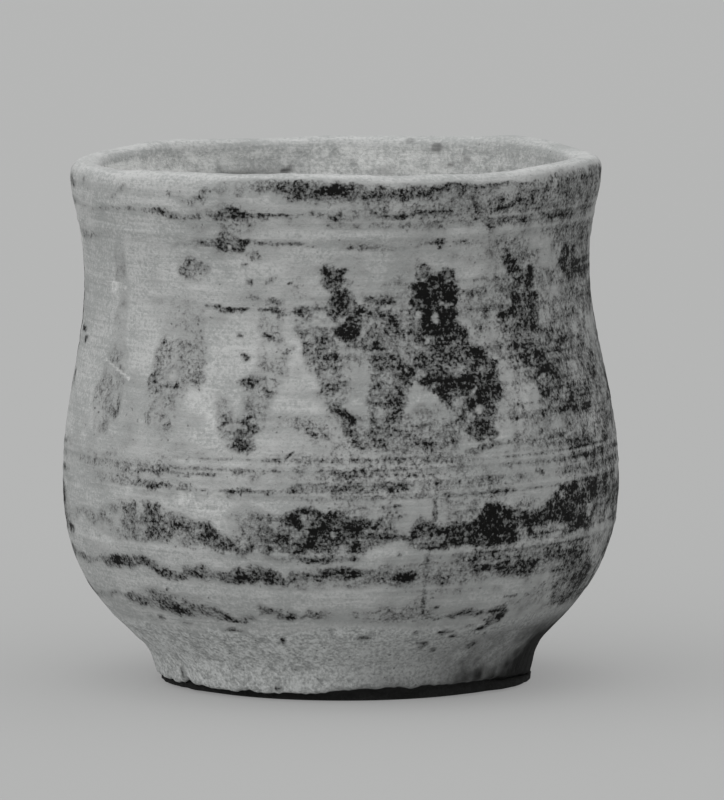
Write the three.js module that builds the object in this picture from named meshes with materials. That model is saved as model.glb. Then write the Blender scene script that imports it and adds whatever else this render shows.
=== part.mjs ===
// A small painted pottery beaker. Four clay members, foot, bowl, wall and rim, are luted edge to edge,
// and every line and stroke of slip paint is a thin body of its own that lies on the outside.
// Millimetres, +Z up. The origin is the middle of the face that the vessel rests on, -Y is its front.
import * as THREE from 'three';

// Outline, from the resting face upwards
const footEdgeRadius = 36;
const footEdgeLift = 2.6;
const footUndercut = 3.5;
const undercutStep = [1, 1.5];
const waistRadius = 40.5;
const waistHeight = 10;
const waistFlare = 1.05;
const bellyRadius = 53.5;
const bowlRise = 30;
const neckRadius = 48.55;
const neckRise = 39;
const lipRadius = 51;
const lipRise = 18.8;
const lipCrown = 3;
const lipSquareness = 3;

// Underside: a flat resting ring round a shallow hollow, and a chipped edge
const restingRingWidth = 11;
const restingHollow = 0.8;
const chipDepth = 0.7;
const chipsRound = 5;
const chipTurn = 0.6;
const fineChipShare = 0.35;

// Wall thicknesses, measured level
const bellyWall = 6;
const neckWall = 5.4;
const lipWall = 6;
const floorThickness = 3.2;

// Bevelled seams between the clay members, with a film of luting slip in each
const seamGap = 0.3;
const seamBevel = 2;
const footSeamRise = 2;
const footSeamRun = 8;
const bellySeamRise = 6;
const rimDepth = 11.8;

// Slip paint
const paintThickness = 0.3;
const paintGap = 0.15;
const brushWander = 0.3;
const quickWanderShare = 0.33;
const wanderTurn = 1.9;
const rimLineWidth = 2.4;
const rimLineDrop = 1.9;
const rimLinePitch = 3.6;
const neckLineWidth = 1.1;
const neckLineDrop = 0.4;
const thinLineWidth = 0.9;
const thinLinePitch = 2.8;
const thinLineDrop = 3.5;
const thinLineCount = 3;
const broadBandDrop = 5.8;
const broadBandWidth = 9.6;
const mediumBandDrop = 1.6;
const mediumBandWidth = 4.2;
const lowerLineDrop = 3.8;
const lowerLineWidth = 3.8;

// Zigzag frieze of leaf-shaped strokes, two to a chevron
const chevronCount = 14;
const firstApexDegrees = -7.5;
const strokeTipWidth = 0.8;
const strokeGap = 0.8;
const strokeFullness = 2.5;
const friezeMargin = 1.4;

// Facets
const turnSteps = 56;
const outerPitch = 3;
const innerPitch = 8;
const crownSteps = 6;
const hollowSteps = 8;
const undersideSteps = 2;
const strokeColumns = 2;
const strokeRows = 7;
const bandPitch = 4;

// Heights that follow from the sizes above
const bellyHeight = waistHeight + bowlRise;
const neckHeight = bellyHeight + neckRise;
const lipHeight = neckHeight + lipRise;
const topHeight = lipHeight + lipCrown;
const footSeam = waistHeight + footSeamRise;
const bellySeam = bellyHeight + bellySeamRise;
const neckSeam = topHeight - rimDepth;
const floorHeight = footSeam + seamBevel + seamGap + floorThickness;

// How far each end of a curve pulls it straight, as a share of the curve's rise
const footPull = [0.4, 0.34];
const bowlPull = [0.24, 0.53];
const wallPull = [0.41, 0.36];
const rimPull = [0.55, 0.22];
const hollowPull = [0.62, 0.66];

// One stretch of an outline between two rings. A lean is the outward run per unit of rise at that end.
function outlineCurve(radii, heights, pull, leans) {
  const [startRadius, endRadius] = radii;
  const [startHeight, endHeight] = heights;
  const rise = endHeight - startHeight;
  const startPull = rise * pull[0];
  const endPull = rise * pull[1];
  return new THREE.CubicBezierCurve(
    new THREE.Vector2(startRadius, startHeight),
    new THREE.Vector2(startRadius + leans[0] * startPull, startHeight + startPull),
    new THREE.Vector2(endRadius - leans[1] * endPull, endHeight - endPull),
    new THREE.Vector2(endRadius, endHeight),
  );
}

const outerCurves = [
  outlineCurve([footEdgeRadius, waistRadius], [footEdgeLift, waistHeight], footPull, [0, waistFlare]),
  outlineCurve([waistRadius, bellyRadius], [waistHeight, bellyHeight], bowlPull, [waistFlare, 0]),
  outlineCurve([bellyRadius, neckRadius], [bellyHeight, neckHeight], wallPull, [0, 0]),
  outlineCurve([neckRadius, lipRadius], [neckHeight, lipHeight], rimPull, [0, 0]),
];

const bellyInside = bellyRadius - bellyWall;
const neckInside = neckRadius - neckWall;
const lipInside = lipRadius - lipWall;

const innerCurves = [
  outlineCurve([bellyInside, neckInside], [bellyHeight, neckHeight], wallPull, [0, 0]),
  outlineCurve([neckInside, lipInside], [neckHeight, lipHeight], rimPull, [0, 0]),
];

// The inside of the bowl, from the middle of the floor out and up to the belly
const bowlHollow = new THREE.CubicBezierCurve(
  new THREE.Vector2(0, floorHeight),
  new THREE.Vector2(bellyInside * hollowPull[0], floorHeight),
  new THREE.Vector2(bellyInside, bellyHeight - (bellyHeight - floorHeight) * hollowPull[1]),
  new THREE.Vector2(bellyInside, bellyHeight),
);

// The top of the lip: a superellipse, so that it is flatter than round. At a share of its rise it keeps
// this share of its half width.
const lipMiddle = lipRadius - lipWall / 2;

function crownShare(rise) {
  return (1 - rise ** lipSquareness) ** (1 / lipSquareness);
}

// From the outside of the lip over to its inside
function overLip() {
  return Array.from({ length: crownSteps - 1 }, (_, step) => {
    const turn = (Math.PI * (step + 1)) / crownSteps;
    const rise = Math.sin(turn) ** (2 / lipSquareness);
    const side = Math.sign(Math.cos(turn));
    const height = lipHeight + lipCrown * rise;
    return new THREE.Vector2(lipMiddle + (side * lipWall * crownShare(rise)) / 2, height);
  });
}

// A curve's radius at a height, found by halving
function radiusOnCurve(curve, height) {
  const halvings = 40;
  let low = 0;
  let high = 1;
  for (let step = 0; step < halvings; step++) {
    const middle = (low + high) / 2;
    if (curve.getPoint(middle).y < height) {
      low = middle;
    } else {
      high = middle;
    }
  }
  return curve.getPoint(low).x;
}

function radiusOnCurves(curves, height) {
  const holding = curves.find((curve) => height <= curve.v3.y);
  return radiusOnCurve(holding ?? curves.at(-1), height);
}

function outerRadius(height) {
  if (height <= lipHeight) {
    return radiusOnCurves(outerCurves, height);
  }
  const rise = Math.min((height - lipHeight) / lipCrown, 1);
  return lipMiddle + (lipWall / 2) * crownShare(rise);
}

function innerRadius(height) {
  return radiusOnCurves(innerCurves, height);
}

// Evenly spaced heights, both ends among them
function levels(bottom, top, pitch) {
  const steps = Math.max(1, Math.ceil((top - bottom) / pitch));
  return Array.from({ length: steps + 1 }, (_, step) => bottom + ((top - bottom) * step) / steps);
}

function upOutside(bottom, top) {
  return levels(bottom, top, outerPitch).map((height) => new THREE.Vector2(outerRadius(height), height));
}

function downInside(top, bottom) {
  const upwards = levels(bottom, top, innerPitch);
  return upwards.reverse().map((height) => new THREE.Vector2(innerRadius(height), height));
}

// A profile of radius and height, turned once round the vertical axis
function turned(profile) {
  return new THREE.LatheGeometry(profile, turnSteps).rotateX(Math.PI / 2);
}

// A ring's profile ends where it starts
function turnedRing(profile) {
  return turned([...profile, profile[0].clone()]);
}

// Moves every point of a geometry, given and returned as turn angle, height and radius.
// The angle is 0 at the front and grows towards +X.
function movePoints(geometry, move) {
  const places = geometry.attributes.position;
  for (let index = 0; index < places.count; index++) {
    const x = places.getX(index);
    const y = places.getY(index);
    const { angle, height, radius } = move(Math.atan2(x, -y), places.getZ(index), Math.hypot(x, y));
    places.setXYZ(index, radius * Math.sin(angle), -radius * Math.cos(angle), height);
  }
  return geometry;
}

// Foot: a thick flared disc with a flat resting ring and an undercut, chipped lower edge
const contactRadius = footEdgeRadius - footUndercut;

const bossRadius = outerRadius(footSeam) - footSeamRun;

function chipLift(angle) {
  const broad = Math.sin(chipsRound * angle + chipTurn);
  const fine = Math.sin((2 * chipsRound + 1) * angle);
  return chipDepth * (broad + (fine - broad) * fineChipShare);
}

function footGeometry() {
  const hollowRadius = contactRadius - restingRingWidth;
  const hollow = new THREE.QuadraticBezierCurve(
    new THREE.Vector2(0, restingHollow),
    new THREE.Vector2(hollowRadius / 2, restingHollow),
    new THREE.Vector2(hollowRadius, 0),
  );
  const profile = [
    ...hollow.getPoints(undersideSteps),
    new THREE.Vector2(contactRadius, 0),
    new THREE.Vector2(contactRadius + undercutStep[0], undercutStep[1]),
    ...upOutside(footEdgeLift, footSeam),
    new THREE.Vector2(bossRadius, footSeam + seamBevel),
    new THREE.Vector2(0, footSeam + seamBevel),
  ];
  return movePoints(turned(profile), (angle, height, radius) => {
    const onFlare = radius > contactRadius + footUndercut / 2 && height < waistHeight;
    const fade = onFlare ? (waistHeight - height) / (waistHeight - footEdgeLift) : 0;
    return { angle, height: height + chipLift(angle) * fade, radius };
  });
}

// Lower bowl: sits over the foot's bevelled boss and runs up past the belly
function lowerBowlGeometry() {
  const underside = footSeam + seamGap;
  return turned([
    new THREE.Vector2(0, underside + seamBevel),
    new THREE.Vector2(bossRadius, underside + seamBevel),
    ...upOutside(underside, bellySeam),
    ...downInside(bellySeam + seamBevel, bellyHeight),
    ...bowlHollow.getPoints(hollowSteps).reverse().slice(1),
  ]);
}

// Upper wall: the plain ring that carries the frieze
function upperWallGeometry() {
  const bottom = bellySeam + seamGap;
  return turnedRing([
    ...upOutside(bottom, neckSeam),
    ...downInside(neckSeam + seamBevel, bottom + seamBevel),
  ]);
}

// Rim: flares out to a thick rounded lip
function rimGeometry() {
  const bottom = neckSeam + seamGap;
  return turnedRing([
    ...upOutside(bottom, lipHeight),
    ...overLip(),
    ...downInside(lipHeight, bottom + seamBevel),
  ]);
}

// A painted line or band: a thin ring on the wall that wanders a little, as from a hand-held brush
function paintRing(top, width, phase) {
  const heights = levels(top - width, top, bandPitch);
  const inner = paintGap;
  const outer = paintGap + paintThickness;
  const profile = [
    ...heights.map((height) => new THREE.Vector2(outerRadius(height) + outer, height)),
    ...heights.toReversed().map((height) => new THREE.Vector2(outerRadius(height) + inner, height)),
  ];
  return movePoints(turnedRing(profile), (angle, height, radius) => {
    const offWall = radius - outerRadius(height);
    const slow = Math.sin(2 * angle + phase);
    const quick = Math.sin(5 * angle - phase);
    const wandered = height + brushWander * (slow + (quick - slow) * quickWanderShare);
    return { angle, height: wandered, radius: outerRadius(wandered) + offWall };
  });
}

// A leaf-shaped stroke that lies on the wall, from a low place to a high one, each an angle and a height.
// It swells until the gap to the stroke beside it, under its apex or over its foot, is the gap at its tips.
function paintStroke(low, high) {
  const geometry = new THREE.BoxGeometry(1, 1, 1, strokeColumns, strokeRows, 1);
  const places = geometry.attributes.position;
  for (let index = 0; index < places.count; index++) {
    const along = places.getY(index) + 0.5;
    const height = low.height + (high.height - low.height) * along;
    const wall = outerRadius(height);
    const reach = Math.abs(high.angle - low.angle) * wall;
    const tip = (strokeTipWidth + strokeGap) / 2;
    const toLow = tip + (reach - 2 * tip) * along;
    const toHigh = reach - toLow;
    const room = (toLow ** -strokeFullness + toHigh ** -strokeFullness) ** (-1 / strokeFullness);
    const width = 2 * room - strokeGap;
    const middle = low.angle + (high.angle - low.angle) * (toLow / reach);
    const angle = middle + (places.getX(index) * width) / wall;
    const radius = wall + paintGap + paintThickness * (places.getZ(index) + 0.5);
    places.setXYZ(index, radius * Math.sin(angle), -radius * Math.cos(angle), height);
  }
  return geometry;
}

function addPiece(group, name, geometry, look) {
  geometry.deleteAttribute('uv');
  geometry.computeVertexNormals();
  const mesh = new THREE.Mesh(geometry, new THREE.MeshStandardMaterial({ metalness: 0, ...look }));
  mesh.name = name;
  group.add(mesh);
}

const bareClay = { color: 0x7d7973, roughness: 0.95 };
const slippedClay = { color: 0xa5a19a, roughness: 0.85 };
const darkPaint = { color: 0x2c2926, roughness: 0.8 };

const clay = new THREE.Group();
addPiece(clay, 'foot', footGeometry(), bareClay);
addPiece(clay, 'lower_bowl', lowerBowlGeometry(), slippedClay);
addPiece(clay, 'upper_wall', upperWallGeometry(), slippedClay);
addPiece(clay, 'rim', rimGeometry(), slippedClay);

// Lines and bands, each with the height of its upper edge: two lines round the rim, one under it,
// thin ones over and under the belly seam, and three bands round the bowl
const bands = new THREE.Group();
const rimLineTop = topHeight - rimLineDrop;
const neckLineTop = neckSeam - neckLineDrop;
const thinLineTop = bellySeam - thinLineDrop + thinLineWidth / 2;
const broadBandTop = bellySeam - broadBandDrop;
const mediumBandTop = broadBandTop - broadBandWidth - mediumBandDrop;
const lowerLineTop = mediumBandTop - mediumBandWidth - lowerLineDrop;
const lines = [
  { name: 'rim_upper_line', top: rimLineTop, width: rimLineWidth },
  { name: 'rim_lower_line', top: rimLineTop - rimLinePitch, width: rimLineWidth },
  { name: 'neck_line', top: neckLineTop, width: neckLineWidth },
  { name: 'broad_band', top: broadBandTop, width: broadBandWidth },
  { name: 'medium_band', top: mediumBandTop, width: mediumBandWidth },
  { name: 'lower_line', top: lowerLineTop, width: lowerLineWidth },
];
for (let line = 0; line < thinLineCount; line++) {
  const top = thinLineTop + line * thinLinePitch;
  lines.push({ name: `belly_line_${line + 1}`, top, width: thinLineWidth });
}
for (const [index, { name, top, width }] of lines.entries()) {
  addPiece(bands, name, paintRing(top, width, index * wanderTurn), darkPaint);
}

// Zigzag: each chevron has a stroke down to the left of its apex and one down to the right
const frieze = new THREE.Group();
const friezeTop = neckLineTop - neckLineWidth - brushWander - friezeMargin;
const friezeBottom = thinLineTop + (thinLineCount - 1) * thinLinePitch + brushWander + friezeMargin;
const halfPitch = Math.PI / chevronCount;

for (let chevron = 0; chevron < chevronCount; chevron++) {
  const apex = THREE.MathUtils.degToRad(firstApexDegrees) + 2 * halfPitch * chevron;
  for (const [leg, side] of [-1, 1].entries()) {
    const number = String(2 * chevron + leg + 1).padStart(2, '0');
    const low = { angle: apex + side * halfPitch, height: friezeBottom };
    const high = { angle: apex, height: friezeTop };
    addPiece(frieze, `zigzag_stroke_${number}`, paintStroke(low, high), darkPaint);
  }
}

const vessel = new THREE.Group();
vessel.add(clay, bands, frieze);

export default vessel;
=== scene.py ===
"""The looks of a small painted pottery beaker: worn pale slip and dark paint on a turned, fired clay body.

Lengths are millimetres until a mesh is written. Angles are degrees round the vessel, 0 at its front (-Y)
and growing towards +X.
"""
import math

import bmesh
import bpy
import numpy as np
from mathutils import Matrix, Vector


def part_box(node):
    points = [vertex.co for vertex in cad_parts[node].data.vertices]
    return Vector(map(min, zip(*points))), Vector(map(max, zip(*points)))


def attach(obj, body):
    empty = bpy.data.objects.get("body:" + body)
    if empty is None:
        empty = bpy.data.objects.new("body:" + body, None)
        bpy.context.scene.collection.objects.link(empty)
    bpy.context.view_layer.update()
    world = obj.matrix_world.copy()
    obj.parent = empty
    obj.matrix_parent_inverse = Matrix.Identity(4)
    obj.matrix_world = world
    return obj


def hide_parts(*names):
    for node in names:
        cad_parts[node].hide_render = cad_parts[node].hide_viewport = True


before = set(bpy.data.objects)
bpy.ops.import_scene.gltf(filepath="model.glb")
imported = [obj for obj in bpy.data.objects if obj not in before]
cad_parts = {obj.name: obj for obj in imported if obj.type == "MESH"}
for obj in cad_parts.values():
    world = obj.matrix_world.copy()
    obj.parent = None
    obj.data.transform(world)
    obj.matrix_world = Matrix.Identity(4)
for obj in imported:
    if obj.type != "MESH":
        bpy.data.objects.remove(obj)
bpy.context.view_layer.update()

MM = 0.001
SEED = 20

# Clay members from the foot up, with the paint that lies on each
STROKES = sorted(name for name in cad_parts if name.startswith("zigzag_stroke_"))
PAINT_ON = {
    "foot": [],
    "lower_bowl": ["belly_line_1", "belly_line_2", "broad_band", "medium_band", "lower_line"],
    "upper_wall": ["belly_line_3", "neck_line", *STROKES],
    "rim": ["rim_lower_line", "rim_upper_line"],
}


# What the CAD parts say: heights of the members and of the paint, and the outline of the clay


def height_span(*nodes):
    """Lowest and highest point of CAD nodes."""
    boxes = [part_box(node) for node in nodes]
    lowest = min(low.z for low, high in boxes) / MM
    highest = max(high.z for low, high in boxes) / MM
    return lowest, highest


def middle_of(node):
    return sum(height_span(node)) / 2


# A seam lies at the low edge of the upper member outside, and at the high edge of the lower member inside
FOOT_SEAM = height_span("lower_bowl")[0]
BELLY_SEAM = height_span("upper_wall")[0]
NECK_SEAM = height_span("rim")[0]
FOOT_BOSS = height_span("foot")[1]
BELLY_SEAM_INSIDE = height_span("lower_bowl")[1]
NECK_SEAM_INSIDE = height_span("upper_wall")[1]
TOP = height_span("rim")[1]
FRIEZE_FOOT, FRIEZE_TOP = height_span(*STROKES)

# The slip ends a little under the lowest painted line
SLIP_DROP = 4.4
SLIP_EDGE = middle_of("lower_line") - SLIP_DROP

# Probes start far off or at the axis, a hair beside the facets' edge at the front, and keep clear of seams
FAR = 500.0
HAIR = MM / 100
CLEAR = 0.5
READING_PITCH = 3.2
UNDERSIDE_PITCH = 0.25
FLOOR_READINGS = 14
FLOOR_SHARE = 0.85


def probe(member, start, way):
    """Where a straight line first meets a clay member at the vessel's front, as radius and height."""
    start = Vector((HAIR, *(c * MM for c in start)))
    hit, place, _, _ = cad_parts[member].ray_cast(start, Vector((0, *way)))
    return (-place.y / MM, place.z / MM) if hit else None


def outside_radius(member, height):
    return probe(member, (-FAR, height), (1, 0))[0]


def inside_radius(member, height):
    return probe(member, (0, height), (-1, 0))[0]


def underside_height(radius):
    return probe("foot", (-radius, -FAR), (0, 1))[1]


def floor_height_at(radius):
    return probe("lower_bowl", (-radius, FAR), (0, -1))[1]


def smooth_curve(places, values):
    """A smooth curve through values at rising places. It stays level past both ends."""
    places = np.array(places)
    values = np.array(values)
    slopes = np.gradient(values, places)

    def curve(at):
        index = np.clip(np.searchsorted(places, at) - 1, 0, len(places) - 2)
        gap = places[index + 1] - places[index]
        t = np.clip((at - places[index]) / gap, 0, 1)
        rise = t * t * (3 - 2 * t)
        start_pull = gap * slopes[index] * t * (1 - t) ** 2
        end_pull = gap * slopes[index + 1] * t * t * (t - 1)
        return values[index] + (values[index + 1] - values[index]) * rise + start_pull + end_pull

    return curve


def outer_member(height):
    seams = [("rim", NECK_SEAM), ("upper_wall", BELLY_SEAM), ("lower_bowl", FOOT_SEAM)]
    return next((member for member, seam in seams if height >= seam), "foot")


def inner_member(height):
    seams = [("rim", NECK_SEAM_INSIDE), ("upper_wall", BELLY_SEAM_INSIDE)]
    return next((member for member, seam in seams if height >= seam + CLEAR), "lower_bowl")


def reading_levels(bottom, top, seams):
    """Even levels from bottom to top that keep clear of the seams."""
    levels = np.linspace(bottom, top, math.ceil((top - bottom) / READING_PITCH) + 1)
    for seam in seams:
        close = abs(levels - seam) < CLEAR
        levels = np.where(close, seam + 2 * CLEAR, levels)
    return levels


# The lip is read under its rounded top
LIP_PROBE = TOP - 4
LIP_RADIUS = outside_radius("rim", LIP_PROBE)
LIP_HALF = (LIP_RADIUS - inside_radius("rim", LIP_PROBE)) / 2
LIP_HEIGHT = TOP - LIP_HALF
LIP_SQUARENESS = 3.0

# The foot is read over its chipped edge, and from below to find the ring on which it rests
EDGE_PROBE = 3.8
TOUCHING = 0.02
FOOT_RADIUS = outside_radius("foot", EDGE_PROBE)
FOOT_EDGE = underside_height(FOOT_RADIUS - CLEAR)
under_radii = np.arange(0, FOOT_RADIUS, UNDERSIDE_PITCH)
under_heights = [underside_height(radius) for radius in under_radii]
CONTACT_RADIUS = max(radius for radius, height in zip(under_radii, under_heights) if height < TOUCHING)

outer_levels = reading_levels(EDGE_PROBE, LIP_HEIGHT, [FOOT_SEAM, BELLY_SEAM, NECK_SEAM])
outer_radius = smooth_curve(outer_levels, [outside_radius(outer_member(z), z) for z in outer_levels])

# Inside, the floor is read from above and the wall from the axis
FLOOR_RADIUS = FLOOR_SHARE * inside_radius("lower_bowl", BELLY_SEAM)
floor_radii = np.linspace(0, FLOOR_RADIUS, FLOOR_READINGS)
floor_heights = [floor_height_at(radius) for radius in floor_radii]
floor_height = smooth_curve(floor_radii, floor_heights)
FLOOR_EDGE = floor_heights[-1]
inner_levels = reading_levels(FLOOR_EDGE, LIP_HEIGHT, [BELLY_SEAM_INSIDE, NECK_SEAM_INSIDE])
inner_radius = smooth_curve(inner_levels, [inside_radius(inner_member(z), z) for z in inner_levels])


# Smooth random fields round the vessel

GIRTH = 320.0
FIELD_BASE = -12.0
FIELD_HEIGHT = 130.0


def drift(angle, height, wide, tall, seed):
    """Smooth random values, -1 to 1, in patches of about wide by tall that close up round the vessel."""
    columns = max(3, round(GIRTH / wide))
    rows = int(FIELD_HEIGHT / tall) + 4
    values = np.random.default_rng(SEED * 1000 + seed).uniform(-1, 1, (rows, columns))
    across = (angle / 360.0 % 1.0) * columns
    up = np.clip((height - FIELD_BASE) / tall, 0, rows - 2)
    column = across.astype(int)
    row = up.astype(int)
    ease_across = (across - column) ** 2 * (3 - 2 * (across - column))
    ease_up = (up - row) ** 2 * (3 - 2 * (up - row))
    left = column % columns
    right = (column + 1) % columns
    lower = values[row, left] + (values[row, right] - values[row, left]) * ease_across
    upper = values[row + 1, left] + (values[row + 1, right] - values[row + 1, left]) * ease_across
    return lower + (upper - lower) * ease_up


def layers(angle, height, rows):
    """Drifts on top of each other. Each row: amount, width and height of the patches, and seed."""
    return sum(amount * drift(angle, height, wide, tall, seed) for amount, wide, tall, seed in rows)


def step(values, low, high):
    """Eases from 0 at low to 1 at high."""
    t = np.clip((values - low) / (high - low), 0, 1)
    return t * t * (3 - 2 * t)


def flecks(angle, height, wide, tall, seed, low, high):
    """1 where a drift is over high, easing to 0 where it is under low."""
    return step(drift(angle, height, wide, tall, seed), low, high)


def between(values, low, high, soft):
    """1 from low to high, easing to 0 over soft on both sides."""
    return step(values, low - soft, low + soft) * (1 - step(values, high - soft, high + soft))


def turn_from(angle, centre):
    """Signed turn from a centre angle, -180 to 180."""
    return (angle - centre + 180.0) % 360.0 - 180.0


def arc_from(angle, centre, height):
    """Distance along the outside from a centre angle."""
    return turn_from(angle, centre) * math.radians(1) * outer_radius(height)
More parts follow.
